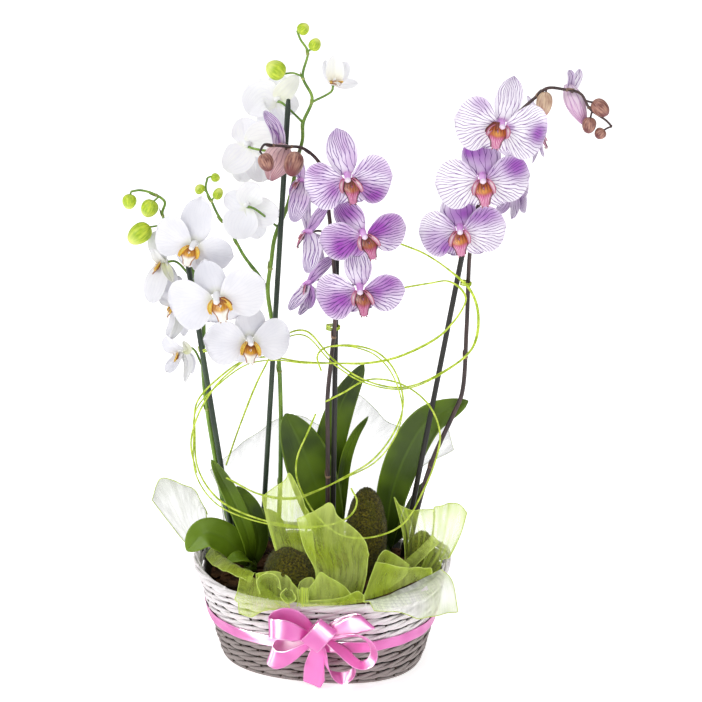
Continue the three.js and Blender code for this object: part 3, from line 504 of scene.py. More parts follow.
def striped_petal(name, ground, washed, line, dark_line, clouded, vein=VEIN_BROAD, strength=1.0):
    """Pale petals with mauve veins that break up towards a pale margin, and purple washes."""
    paint = Paint(name)
    lines, reach, wash, margin = veins(paint, 0.09, vein)
    cloud = paint.noise(paint.place(), 45.0, 2.0)
    base = paint.mix(paint.mapped(cloud, 0.42, 0.7, 0.0, clouded), ground, washed)
    base = paint.mix(wash * paint.mapped(cloud, 0.2, 0.6, 0.75, 1.0), base, washed)
    base = paint.mix(paint.mapped(reach, 0.04, 0.11, 0.65, 0.0), base, (204, 110, 204))
    ink = paint.mix(wash ** 0.7, line, dark_line)
    base = paint.mix(lines * paint.mapped(reach, 0.03, 0.1, 0.3, strength), base, ink)
    base = paint.mix(margin * 0.6, base, (240, 232, 246))
    paint.bump(lines, 0.0003, 0.4)
    return paint.finish(base, 0.45, sheen=0.1, specular=0.35)


def lip_paint(name, throat, middle, tip, streak, rim, glow):
    """The lip: throat, middle and tip colours in turn, a lighter patch across its middle that is partly its
    own yellow and partly painted highlight, a dark rim, and lengthwise streaks.
    """
    paint = Paint(name)
    along, across, _ = paint.carried("flat")
    away = abs(across)
    base = paint.mix(paint.mapped(along, 0.06, 0.32), throat, middle)
    base = paint.mix(paint.mapped(along, 0.44, 0.66), base, tip)
    # painted highlight, with the lip's own yellow: the glow colour across the lip's middle
    lit = paint.mapped(abs(along - 0.42), 0.0, 0.17, 0.7, 0.0)
    base = paint.mix(paint.mapped(away, 0.0, 0.6, 1.0, 0.0) * lit, base, glow)
    wave = across * 13.0 + paint.noise(paint.place(), 500.0) * 2.0
    marks = paint.mapped(abs(paint.math("SINE", wave)), 0.55, 0.95)
    base = paint.mix(marks * paint.mapped(along, 0.5, 0.75, 0.0, 0.7), base, streak)
    base = paint.mix(marks * paint.mapped(along, 0.25, 0.55, 0.75, 0.0), base, rim)
    base = paint.mix(paint.mapped(away, 0.62, 0.88, 0.0, 0.95), base, rim)
    paint.bump(marks, 0.0005, 0.5)
    return paint.finish(base, 0.35, coat=0.15)


def plain_flesh(name, light, dark, scale=120.0, roughness=0.4, lengthwise=1.0):
    """Living or coated surfaces of one colour that varies a little, with a fine bump; lengthwise under 1
    draws both out along Z."""
    paint = Paint(name)
    place = paint.stretched(paint.place(), (1.0, 1.0, lengthwise))
    base = paint.mix(paint.mapped(paint.noise(place, scale), 0.35, 0.65), dark, light)
    paint.bump(paint.noise(place, 900.0), 0.0003, 0.35)
    return paint.finish(base, roughness, specular=0.45)


def bud_paint(name, light, dark, tip):
    """A bud, streaked from its stalk to its tip, where another colour shows."""
    paint = Paint(name)
    along, turn, _ = paint.carried("flat")
    streaks = paint.noise(paint.join(along * 0.8, turn * 9.0, 0.0), 2.5, 3.0)
    base = paint.mix(paint.mapped(streaks, 0.35, 0.65), dark, light)
    base = paint.mix(paint.mapped(along, 0.6, 1.0), base, tip)
    paint.bump(streaks, 0.0006, 0.4)
    return paint.finish(base, 0.4, specular=0.4)


def leaf_paint(name):
    """A leaf: patched green, lighter at a young tip, darker at its foot, and lighter along its midrib and
    edge as painted highlight.
    """
    paint = Paint(name)
    along, across, seed = paint.carried("flat")
    young, _, _ = paint.carried("tone")
    away = abs(across)
    patches = paint.noise(paint.place(), 22.0, 1.5)
    base = paint.mix(paint.mapped(patches, 0.3, 0.72), (40, 60, 4), (96, 124, 12))
    base = paint.mix(young, base, (124, 156, 34))
    # painted highlight along the midrib
    base = paint.mix(paint.mapped(away, 0.0, 0.12, 0.55, 0.0), base, (96, 124, 34))
    # painted sheen along the edge
    base = paint.mix(paint.mapped(away, 0.9, 1.0, 0.0, 0.55), base, (140, 170, 50))
    base = paint.mix(paint.mapped(along, 0.0, 0.22, 0.6, 0.0), base, (22, 34, 8))
    lines = paint.noise(paint.join(along * 1.5, across * 26.0, seed), 2.0, 2.0)
    base = paint.mix(paint.mapped(lines, 0.5, 0.7, 0.0, 0.25), base, (80, 112, 26))
    paint.bump(lines, 0.0005, 0.35)
    return paint.finish(base, paint.mapped(patches, 0.3, 0.7, 0.3, 0.42), coat=0.06, coat_roughness=0.25,
                        specular=0.3)


def wicker_paint(name, light, middle, dark, worn):
    """Wood splints: grain along their length, darker pores, and worn places that show the bare wood."""
    paint = Paint(name)
    along, turn, seed = paint.carried("flat")
    grain = paint.noise(paint.join(along * 5.0, turn * 14.0, seed), 6.0, 4.0, 0.65)
    patches = paint.noise(paint.place(), 55.0, 3.0)
    base = paint.mix(paint.mapped(grain, 0.35, 0.62), middle, light)
    base = paint.mix(paint.mapped(grain, 0.6, 0.75, 0.0, 0.55), base, dark)
    base = paint.mix(paint.mapped(patches, 0.56, 0.72, 0.0, 0.5), base, worn)
    paint.bump(grain, 0.0009, 0.6)
    return paint.finish(base, 0.72, specular=0.3)


def satin_paint(name):
    """Pink satin: a face whose gloss spreads across its threads, and a lighter line near each edge."""
    paint = Paint(name)
    _, across, _ = paint.carried("flat")
    ribs = paint.math("SINE", across * 70.0)
    tone = paint.noise(paint.place(), 35.0, 1.0)
    base = paint.mix(paint.mapped(tone, 0.35, 0.65), (218, 88, 176), (234, 116, 196))
    base = paint.mix(paint.mapped(abs(across), 0.88, 0.95, 0.0, 0.4), base, (248, 180, 224))
    paint.bump(ribs, 0.0001, 0.2)
    threads = paint.node("Tangent", direction_type="UV_MAP", uv_map=RIBBON_MAP)
    paint.put(paint.shader.inputs["Tangent"], paint.fed(threads, {}))
    return paint.finish(base, 0.4, sheen=0.2, sheen_roughness=0.3, coat=0.3, coat_roughness=0.2,
                        specular=1.0, anisotropic=1.0)


THREADS = 620.0  # radians of weave to a tenth of a metre of cloth


def organza_paint(name, thread, opacity, crossed):
    """Sheer cloth: a fine open weave, denser in its creases and near its hem."""
    paint = Paint(name)
    along, across, _ = paint.carried("flat")
    crease, hem, thin = paint.carried("tone")
    warp, weft = (abs(paint.math("SINE", way * THREADS)) for way in (across, along))
    cloth = paint.math("MAXIMUM", warp, weft)
    streaks = paint.noise(paint.join(along * 1.2, across * 4.0, 0.0), 3.0, 2.0)
    drift = paint.noise(paint.place(), 18.0, 2.0)
    base = paint.mix(paint.mapped(drift, 0.35, 0.65), crossed, thread)
    base = paint.mix(crease * 0.6, base, crossed)
    thick = paint.mapped(streaks, 0.3, 0.7, opacity * 0.75, opacity * 1.2) + crease * 0.45 + hem * 0.25
    share = paint.mapped(cloth, 0.4, 1.0, 0.75, 1.1) * thick * (1.0 - thin)
    paint.put(paint.shader.inputs["Alpha"], paint.math("MINIMUM", share, 0.97))
    paint.bump(cloth, 0.0002, 0.2)
    return paint.finish(base, 0.45, sheen=0.3, sheen_roughness=0.4, specular=0.15)


def moss_paint(name):
    """Dry moss: painted shade in its hollows, yellow tips and greener places."""
    paint = Paint(name)
    fine = paint.noise(paint.place(), 520.0, 2.0, 0.75)
    broad = paint.noise(paint.place(), 60.0, 2.0)
    # painted shade: darker where the fine noise is low, as the bump sinks there
    base = paint.mix(paint.mapped(fine, 0.36, 0.6), (36, 32, 8), (98, 92, 24))
    base = paint.mix(paint.mapped(fine, 0.58, 0.74, 0.0, 0.8), base, (152, 130, 48))
    base = paint.mix(paint.mapped(broad, 0.45, 0.7, 0.0, 0.6), base, (66, 72, 10))
    paint.bump(fine, 0.0012, 0.8)
    return paint.finish(base, 0.95, sheen=0.2, specular=0.1)


def bark_paint(name):
    paint = Paint(name)
    fine = paint.noise(paint.place(), 260.0, 5.0, 0.7)
    broad = paint.noise(paint.place(), 45.0, 3.0)
    base = paint.mix(paint.mapped(broad, 0.35, 0.65), (34, 22, 14), (88, 60, 38))
    base = paint.mix(paint.mapped(fine, 0.55, 0.75, 0.0, 0.5), base, (132, 98, 66))
    paint.bump(fine, 0.002, 0.8)
    return paint.finish(base, 0.92, specular=0.15)


def liner_paint(name):
    """Dark film with upright folds: a black liner, whose dark also serves as painted shade in the gaps of
    the weave, and painted shade again in the troughs of its folds.
    """
    paint = Paint(name)
    folds = paint.noise(paint.stretched(paint.place(), (1.0, 1.0, 0.25)), 90.0, 3.0)
    base = paint.mix(paint.mapped(folds, 0.35, 0.65), (20, 19, 18), (44, 41, 38))
    paint.bump(folds, 0.002, 0.5)
    return paint.finish(base, 0.42, specular=0.4)


def cane_paint(name):
    """Lime rattan with darker knots along it."""
    paint = Paint(name)
    along, _, _ = paint.carried("flat")
    streak = paint.noise(paint.place(), 160.0, 3.0)
    base = paint.mix(paint.mapped(streak, 0.35, 0.65), (160, 186, 28), (214, 232, 92))
    knots = paint.mapped(abs(paint.math("SINE", along * 40.0)), 0.0, 0.06, 0.5, 0.0)
    base = paint.mix(knots, base, (120, 136, 30))
    paint.bump(streak, 0.0004, 0.4)
    return paint.finish(base, 0.38, specular=0.4)


FLOOR_GLOW_NEAR = 0.6
FLOOR_GLOW_FAR = 0.85


def floor_paint(name):
    """A white sweep that is lit from within, more so further from the object, so that it stays white."""
    paint = Paint(name)
    x, y, _ = paint.split(paint.place())
    away = paint.math("SQRT", x ** 2.0 + y ** 2.0)
    tone = paint.noise(paint.place(), 3.0, 2.0)
    base = paint.mix(paint.mapped(tone, 0.3, 0.7), (252, 252, 252), WHITE)
    paint.glow(paint.mapped(away, 0.1, 1.2, FLOOR_GLOW_NEAR, FLOOR_GLOW_FAR))
    return paint.finish(base, 0.9, specular=0.05)


# Each kind of material, and what it is told for each of its materials, in the order that it takes them
PAINT_KINDS = [
    (white_petal, {
        "petal_white": [(236, 235, 240), (220, 220, 228), (206, 210, 122)],
        # lighter colours and a glow for the back blooms: painted light, as if lit from behind
        "petal_white_lit": [(243, 243, 246), (230, 230, 236), (222, 226, 150), 0.12],
    }),
    (striped_petal, {
        "petal_striped": [(240, 230, 246), (156, 66, 176), (112, 64, 150), (76, 18, 108), 0.42],
        "petal_pale": [(244, 240, 248), (150, 70, 176), (124, 76, 150), (78, 22, 112), 0.1, 0.0038],
        "closed_striped": [(226, 190, 192), (184, 126, 134), (146, 96, 116), (110, 60, 84), 0.4, VEIN_BROAD,
                           0.6],
        "closed_pale": [(244, 232, 244), (190, 110, 168), (178, 110, 186), (150, 70, 140), 0.2, VEIN_BROAD,
                        0.6],
    }),
    (lip_paint, {
        "lip_white": [(110, 36, 10), (190, 124, 24), (250, 246, 236), (252, 250, 244), (158, 88, 20),
                      (244, 190, 60)],
        "lip_striped": [(84, 30, 10), (146, 66, 36), (168, 40, 104), (244, 190, 220), (64, 10, 24),
                        (190, 110, 58)],
        "lip_pale": [(120, 48, 8), (184, 90, 28), (196, 66, 136), (252, 222, 234), (92, 18, 28),
                     (246, 180, 92)],
        "lobe_white": [(244, 240, 226), (250, 226, 110), (246, 208, 60), (252, 236, 150), (232, 176, 50),
                       (252, 230, 130)],
        "lobe_mauve": [(226, 150, 206), (248, 226, 232), (240, 200, 216), (252, 234, 244), (196, 104, 140),
                       (252, 236, 236)],
    }),
    (plain_flesh, {
        "column_white": [(250, 250, 250), (240, 240, 244)],
        "cap_mauve": [(248, 236, 248), (236, 214, 240)],
        "column_mauve": [(234, 186, 238), (216, 146, 222)],
        "stem_green": [(132, 166, 62), (84, 122, 40), 140.0, 0.38, 0.2],
        "stem_dark": [(78, 56, 54), (42, 31, 34), 140.0, 0.38, 0.2],
        "scar_green": [(176, 186, 110), (130, 140, 66)],
        "scar_dark": [(150, 120, 96), (96, 72, 62)],
        "stick_green": [(52, 70, 50), (30, 44, 32), 200.0, 0.4, 0.1],
        "stick_dark": [(40, 36, 32), (18, 17, 14), 200.0, 0.4, 0.1],
        "hem": [(214, 230, 124), (184, 206, 76), 300.0, 0.5],
        "hem_faint": [(244, 248, 232), (232, 240, 214), 300.0, 0.5],
    }),
    (bud_paint, {
        "bud_green": [(206, 222, 66), (150, 184, 34), (222, 232, 120)],
        "bud_brown": [(190, 142, 124), (112, 66, 64), (116, 58, 62)],
        "bud_tan": [(222, 196, 164), (180, 140, 120), (176, 118, 116)],
    }),
    (wicker_paint, {
        "wicker_grey": [(180, 170, 167), (138, 127, 124), (82, 71, 68), (116, 100, 90)],
        "wicker_white": [(255, 251, 252), (238, 231, 232), (186, 172, 168), (216, 204, 198)],
        # stakes much darker than the splints: painted shade for the gaps of the weave, where they show
        "stake": [(74, 62, 54), (52, 43, 37), (34, 27, 23), (60, 50, 42)],
    }),
    (organza_paint, {
        "organza_green": [(216, 234, 122), 0.42, (188, 212, 60)],
        "organza_clear": [(246, 247, 242), 0.62, (224, 234, 196)],
        "organza_faint": [(136, 141, 128), 0.36, (132, 142, 104)],
        "film": [(134, 138, 138), 0.24, (120, 127, 120)],
    }),
    (leaf_paint, {"leaf": []}),
    (satin_paint, {"ribbon_satin": []}),
    (moss_paint, {"moss": []}),
    (bark_paint, {"bark": []}),
    (liner_paint, {"liner_film": []}),
    (cane_paint, {"cane": []}),
    (floor_paint, {"floor": []}),
]
PAINTS = {name: kind(name, *values) for kind, forms in PAINT_KINDS for name, values in forms.items()}


# Basket

def rim_height(turn):
    return RIM_FRONT_Z + RIM_END_RISE * np.abs(np.cos(turn)) ** 3


def squared(value):
    """A sine or a cosine, drawn towards a rounded square as the basket's outline is."""
    return np.sign(value) * np.abs(value) ** (2 / BASKET["squareness"])


def wall_halves(share):
    """Half the basket's length and half its width, at a share of the way from its bottom to its rim."""
    return [lerp(BASKET["bottom_" + way], BASKET["rim_" + way], share) for way in "xy"]


def on_basket(turn, share, outward, z):
    """A point of the basket's oval: share runs from its bottom to its rim, outward from its wall."""
    half_x, half_y = wall_halves(share)
    return spread((half_x + outward) * squared(np.cos(turn)), (half_y + outward) * squared(np.sin(turn)), z)


def wall_point(turn, z, outward):
    return on_basket(turn, z / rim_height(turn), outward, z)


def even_turns(count):
    """Parameters of the oval at equal distances along its edge."""
    fine = np.linspace(0, FULL_TURN, 2881)
    along = distances(on_basket(fine, 0.5, 0, 0))
    return np.interp(np.linspace(0, along[-1], count, endpoint=False), along, fine)


SPLINT_STEPS = 7  # samples of a splint from one stake to the next
SPLINT_SECTION = 8
SPLINT_BEHIND = 0.42  # a splint's height where it turns in behind a stake, as a share of its full height
ROW_STRANDS = 3
STAKE_FOOT = 2.5
WALL_SPLINT = {"deep": 1.2, "tall": 2.8, "swing": 1.6, "climb": 2.4}
RIM_SPLINT = {"deep": 1.4, "tall": 3.0, "swing": 2.3, "climb": 2.4}


def splint(shape, turns, wind, place, form, seed):
    """One flat splint that winds about its row's middle line; place gives points from outward and upward."""
    drift = wobble(turns, 3, seed * 1.7)
    quick = wobble(turns, 13, seed * 0.7)
    front = 0.5 + 0.5 * np.cos(wind)
    tall = form["tall"] * lerp(SPLINT_BEHIND, 1, front) * (1 + 0.25 * drift + 0.2 * quick)
    rise = form["climb"] * (np.sin(wind) + 0.3 * drift)
    around = ring_turns(SPLINT_SECTION)
    grid = []
    for a in around:
        outward = form["swing"] * np.cos(wind) + form["deep"] * math.cos(a) + 0.3 * quick
        grid.append(place(outward, rise + tall * math.sin(a)))
    along = np.arange(len(turns)) * STAKES / len(turns)
    shape.ring(np.stack(grid, 1), 0, spread(along[:, None], around / FULL_TURN, seed * 2.3))


def splint_row(shape, row):
    """One row of the weave: three splints that twist together about the stakes, like a rope."""
    count = STAKES * SPLINT_STEPS
    turns = even_turns(count)
    usable = rim_height(turns) - RIM_RADIUS - BASE_THICK
    middle = BASE_THICK + usable * (row + 0.5) / WEAVE_ROWS

    def place(outward, rise):
        return wall_point(turns, middle + rise, outward)

    for strand in range(ROW_STRANDS):
        stakes_on = np.arange(count) / SPLINT_STEPS + strand + 0.5 * (row % 2)
        wind = stakes_on * FULL_TURN / ROW_STRANDS
        splint(shape, turns, wind, place, WALL_SPLINT, row * ROW_STRANDS + strand)


def basket_walls():
    """The weave, in grey-brown rows below and whitewashed ones above."""
    for name, rows, paint in (("lower", range(GREY_ROWS), "wicker_grey"),
                              ("upper", range(GREY_ROWS, WEAVE_ROWS), "wicker_white")):
        shape = Shape()
        for row in rows:
            splint_row(shape, row)
        make(f"basket_weave_{name}", shape, [paint], paint, [f"basket_wall_{name}"], layout=False)


def basket_stakes():
    shape = Shape()
    for turn in even_turns(STAKES):
        heights = np.linspace(STAKE_FOOT, float(rim_height(turn)) + 1, 12)
        shape.tube([wall_point(turn, z, 0) for z in heights], STAKE_RADIUS, 8)
    # dark stakes: painted shade in the gaps between the splints
    make("basket_stakes", shape, ["stake"], "wicker_grey", layout=False)


RIM_STRANDS = 4
RIM_TWISTS = 7


RIM_STEPS = 420
RIM_SEED = 40  # past the seeds of the wall's splints
TIP_RISES = (2.0, 4.6, 5.6)  # a stake's tip: heights above the rim's middle, and its radius at each
TIP_RADII = (1.3, 1.2, 0.7)
TIP_OUTWARD = 0.8


def basket_rim():
    """The rolled rim: flat splints that wind round one another, and the stakes' tips above them."""
    shape = Shape()
    turns = even_turns(RIM_STEPS)

    def place(outward, rise):
        return on_basket(turns, 1, outward, rim_height(turns) + rise)

    for strand in range(RIM_STRANDS):
        wind = (np.arange(RIM_STEPS) / RIM_STEPS * RIM_TWISTS + strand / RIM_STRANDS) * FULL_TURN
        splint(shape, turns, wind, place, RIM_SPLINT, RIM_SEED + strand)
    for turn in even_turns(STAKES):
        top = rim_height(turn)
        shape.tube([on_basket(turn, 1, TIP_OUTWARD, top + rise) for rise in TIP_RISES], TIP_RADII, 7)
    make("basket_braid", shape, ["wicker_white"], "wicker_white", ["basket_rim"], layout=False)


FLOOR_RINGS = 14
FLOOR_STEPS = 160
FLOOR_SPLINT = {"wide": 2.9, "tall": 2}
FLOOR_STICKS = {-26: 0.93, 0: 0.97, 26: 0.93}  # places across the floor, and shares of its half length
FLOOR_STICK_Z = 2.4
FLOOR_STICK_RADIUS = 2.2


def basket_floor():
    """The woven underside: oval rings of splint over three crossing sticks."""
    shape = Shape()
    outer = on_basket(even_turns(FLOOR_STEPS), 0, 0, 0)
    outward = unit(outer)
    around = ring_turns(SPLINT_SECTION)
    along = np.arange(FLOOR_STEPS)[:, None] / 6
    for k in range(FLOOR_RINGS):
        share = (k + 0.9) / FLOOR_RINGS
        width = FLOOR_SPLINT["wide"] * np.cos(around)
        grid = (outer * share)[:, None] + outward[:, None] * width[:, None]
        grid[..., 2] = FLOOR_SPLINT["tall"] * (1 + np.sin(around))
        shape.ring(grid, 0, spread(along, around / FULL_TURN, k * 1.3))
    for y, share in FLOOR_STICKS.items():
        half = BASKET["bottom_x"] * share
        shape.tube([(x, y, FLOOR_STICK_Z) for x in np.linspace(-half, half, 20)], FLOOR_STICK_RADIUS, 8)
    make("basket_floor", shape, ["wicker_grey"], "wicker_grey", ["basket_base"], layout=False)


BARK_FOOT = 10
BARK_INSET = 6.5  # from the wall's middle to the filling
BARK_RINGS = 26
BARK_HUB = 0.02  # the innermost ring, as a share of the edge
BARK_ROUGH = 3
BARK_LUMP = 9  # millimetres to a lump
CHIPS = 420
CHIP_INSET = 9
CHIP_REACH = 0.94
CHIP_HALVES = ((4, 9), (3, 6), (1, 2.4))  # half its length, breadth and height: least and most
CHIP_CORNERS = np.array([(x, y, z) for x in (-1, 1) for y in (-1, 1) for z in (-1, 1)], float)
CHIP_FACES = [(0, 1, 3, 2), (4, 6, 7, 5), (0, 4, 5, 1), (2, 3, 7, 6), (0, 2, 6, 4), (1, 5, 7, 3)]


def bark_bed(shape):
    turns = np.linspace(0, FULL_TURN, 96, endpoint=False)
    edge = wall_point(turns, BARK_TOP, -BARK_INSET)
    low = wall_point(turns, BARK_FOOT, -BARK_INSET)
    grid = []
    for share in np.linspace(BARK_HUB, 1, BARK_RINGS):
        ring = edge * share
        lumps = [noise.noise(Vector((x / BARK_LUMP, y / BARK_LUMP, 0))) for x, y, _ in ring]
        ring[:, 2] = BARK_TOP - 4 + BARK_ROUGH * np.array(lumps)
        grid.append(ring)
    shape.ring(np.stack([*grid, low, low * (BARK_HUB, BARK_HUB, 1)]))


def bark_chip(shape, rng):
    """A loose chip: an uneven block that lies at a slant on the bed."""
    turn, share = rng.uniform(0, FULL_TURN), math.sqrt(rng.random()) * CHIP_REACH
    centre = wall_point(turn, BARK_TOP, -CHIP_INSET) * share
    centre[2] = BARK_TOP - 2 + rng.uniform(-1.5, 2.5)
    halves = np.array([rng.uniform(*span) for span in CHIP_HALVES])
    uneven = np.array([[rng.uniform(-1, 1) for _ in range(3)] for _ in CHIP_CORNERS])
    block = CHIP_CORNERS * halves * (1 + 0.3 * uneven)
    yaw, lean = rng.uniform(0, FULL_TURN), rng.uniform(-0.5, 0.5)
    cos, sin = math.cos(lean), math.sin(lean)
    leaned = block @ np.array([[1, 0, 0], [0, cos, sin], [0, -sin, cos]])
    shape.add(turned(leaned, yaw) + centre, CHIP_FACES)


def bark():
    """The filling: a rough bed of bark with loose chips on it."""
    rng = random.Random(11)
    shape = Shape()
    bark_bed(shape)
    for _ in range(CHIPS):
        bark_chip(shape, rng)
    make("bark_chips", shape, ["bark"], "bark", ["bark"], layout=False, smooth_faces=False)


# Ribbon and bow

# The bow's ribbons, on a plane that leans as the wall does, from the knot (0, 0): each row is the middle of
# the ribbon (right, up, towards the viewer) and half its breadth as a vector in the same directions.
BOW_AT = np.array((-2.2, -93.0, 61.0))  # in the layout frame
BOW_LEAN = 0.55
BOW_RIBBONS = {
    "upper_left": [
        [-3, 4, 6, 1.5, 4, 0], [-13, 14, 5, 3, 8, 0], [-24, 21, 5, 3, 10, 0], [-35, 23, 6, 1, 10.8, 0],
        [-44, 19.5, 9, 0, 10.8, 0], [-48.5, 14.8, 14, 0, 10.6, 0], [-44, 13.2, 18.5, 0, 10.8, 0],
        [-32, 12, 20, 1, 10.8, 0], [-22, 8.5, 18, 1.5, 9, 0], [-12, 5, 14, 1.5, 5, 0],
        [-3, 2, 10, 1, 3.5, 0]],
    "lower_left": [
        [-3, -1, 6, 0, 3, 2], [-15, -3, 6, -1, 6, 5], [-30, -6, 7, -2, 9, 5], [-42, -9, 9, 1, 9.5, 5],
        [-48, -14, 13, 3, 9, 5], [-46, -19, 17.5, 4.5, 9, 4], [-38, -21, 20, 4.5, 10.5, 2.5],
        [-28, -17.5, 20, 4.5, 10.5, 1], [-18, -12, 17, 4, 8.5, 0], [-9, -6.5, 12, 2.5, 4.5, 0],
        [-3, -2.5, 9, 1, 3, 0]],
    "upper_right": [
        [3, 4, 5, -1, 3, 0], [16, 11, 4, -2, 7.5, 0], [32, 17, 4, -4, 8.5, 0], [44, 20, 6, -6.5, 7.5, 0],
        [49, 19.5, 10, -7, 7, 0], [45, 18.5, 14, -6.5, 7.5, 0], [32, 15.5, 16, -3, 9, 0],
        [18, 10, 14, -1.5, 7.5, 0], [9, 5.5, 11, -1, 4.5, 0], [3, 3, 9, -0.5, 3, 0]],
    "right_ring": [
        [4, 0, 8, 0, 2.5, 2], [14, 0.5, 9, 0.5, 4, 5], [28, 4, 12, 1, 3.5, 8.5], [41, 4.5, 15, 1, 3, 10],
        [51, -2, 17, 2.5, 2, 10], [55, -12, 18, 3.2, 0, 10.3], [52.5, -22, 18, 3, -1.5, 10.3],
        [44.5, -27, 18, 1, -2.5, 10.5], [36, -24, 18, -1.5, -3, 10], [26, -15, 14, -2.5, -3.2, 9],
        [14, -5.5, 11, -1.5, -2.5, 6.5], [5, -1.5, 9, 0, -2, 3]],
    "lower_ring": [
        [2, -4, 7, 2, 0, 2.5], [5, -14, 9, 3, 0, 6], [7, -27, 11, 2.8, -0.5, 9],
        [11.5, -37, 13, 2, -2.5, 9.5],
        [19, -42, 14, 1, -4.5, 9], [27, -42, 14, 0, -5, 8.8], [34, -37, 13, 0.8, -3, 9.8],
        [35.5, -29, 12, 1.2, -1.5, 10], [30, -20, 10, 1.5, -1.5, 9], [18, -10, 8, 1.5, -1.5, 6],
        [5, -2, 6, 1, -1, 3]],
}
BOW_TAIL = [[-1, -8, 7, 5, 0, 0], [-2.5, -18, 8, 8, 0, 0], [-4.5, -30, 9, 10, -0.5, 0],
            [-5, -40, 10, 10.5, -2, 0],
            [-5, -47, 10, 11, 0, 0]]
TAIL_CUT = ([-1, 0.55, 1], [0, -7.5, 1])  # how far the cut end hangs below the middle's, across the tail
TAIL_FOLD = 4.0
CENTRE_LOOP = {"at": (0.4, 5.4, 16), "along": (0.65, 0.76, 0), "half": 15.4, "deep": 9,
               "breadth": (8, -6.9, 0)}


def ribbon_band():
    """The ribbon round the basket, creased here and there."""
    shape = Shape()
    turns = even_turns(360)
    crease = wobble(turns, 5, 2.0)
    across = np.linspace(-1, 1, 9)
    outer, inner = [], []
    for s in across:
        share = lerp(RIBBON["low"], RIBBON["high"], (s + 1) / 2) + 0.012 * crease
        z = share * rim_height(turns)
        out = RIBBON["standoff"] + 0.6 * np.abs(crease) + 0.4 * np.sin(6 * turns + 3 * s)
        outer.append(wall_point(turns, z, out + RIBBON["thick"]))
        inner.append(wall_point(turns, z, out))
    along = np.linspace(0, 1, len(turns))[:, None]
    flat = spread(along, np.concatenate([across, across[::-1]]), 0.0)
    shape.ring(np.stack(outer + inner[::-1], 1), 0, flat)
    band = make("ribbon_round", shape, ["ribbon_satin"], "ribbon", ["ribbon_band"], layout=False)
    return band


def bow_space(table):
    """From right, up and towards the viewer on the bow's leaning plane to directions of the layout."""
    right, up, near = np.moveaxis(np.asarray(table, float), -1, 0)
    near = near + BOW_LEAN * up
    sin, cos = math.sin(CAMERA_ELEVATION), math.cos(CAMERA_ELEVATION)
    return np.stack([right, up * sin - near * cos, up * cos + near * sin], -1)


def bow_ribbon(shape, rows, steps, cut=None):
    """A length of ribbon through its rows, with smooth steps between them."""
    across = np.linspace(-1, 1, 11)
    table = smooth(rows, steps)
    grid = table[:, None, :3] + table[:, None, 3:] * across[None, :, None]
    t = np.linspace(0, 1, steps)[:, None]
    bulge = 0.5 * (1 - across**2) * np.sin(math.pi * t)
    grid[..., 2] += bulge + 0.25 * np.sin(9 * t + 2.5 * across)
    if cut:
        grid[..., 1] += np.interp(across, *cut)[None, :] * t**3
        grid[..., 2] += TAIL_FOLD * t * np.maximum(0, 1 - np.abs(across - cut[0][1]) / 0.5)
    shape.blade(BOW_AT + bow_space(grid), RIBBON["thick"], 0, spread(t, across, 0.0))


KNOT = {"half": 6, "near": 5, "deep": 3, "radius": 4.5}


def loop_rows():
    """The rows of the loop that stands in the bow's middle: a ring of ribbon of one breadth."""
    at, along, breadth = (np.array(CENTRE_LOOP[key]) for key in ("at", "along", "breadth"))
    rows = []
    for a in np.linspace(-2.2, -2.2 + FULL_TURN, 25):
        out = CENTRE_LOOP["half"] * math.cos(a) * along
        rows.append([*(at + out + (0, 0, CENTRE_LOOP["deep"] * math.sin(a))), *breadth])
    return rows


def bow():
    shape = Shape()
    for rows in BOW_RIBBONS.values():
        bow_ribbon(shape, rows, 81)
    bow_ribbon(shape, BOW_TAIL, 41, TAIL_CUT)
    bow_ribbon(shape, loop_rows(), 73)
    knot = [(KNOT["half"] * math.cos(a), 0, KNOT["near"] + KNOT["deep"] * math.sin(a))
            for a in np.linspace(0, math.pi, 9)]
    shape.tube(BOW_AT + bow_space(knot), KNOT["radius"], 10)
    piece = make("pull_bow", shape, ["ribbon_satin"], "ribbon", ["ribbon_bow"])
    return piece


# Sticks, stems and buds

STICKS = {
    "stick_front_left": {"foot": (-92, 24, 89), "top": (-131, 3, 425), "paint": "stick_green"},
    "stick_back_left": {"foot": (-67, 54, 89), "top": (-31, 40, 576), "paint": "stick_green"},
    "stick_middle": {"foot": (10, 31, 89), "top": (16, 20, 433), "paint": "stick_dark"},
    "stick_right": {"foot": (86, 41, 89), "top": (142, 30, 427), "paint": "stick_dark"},
}

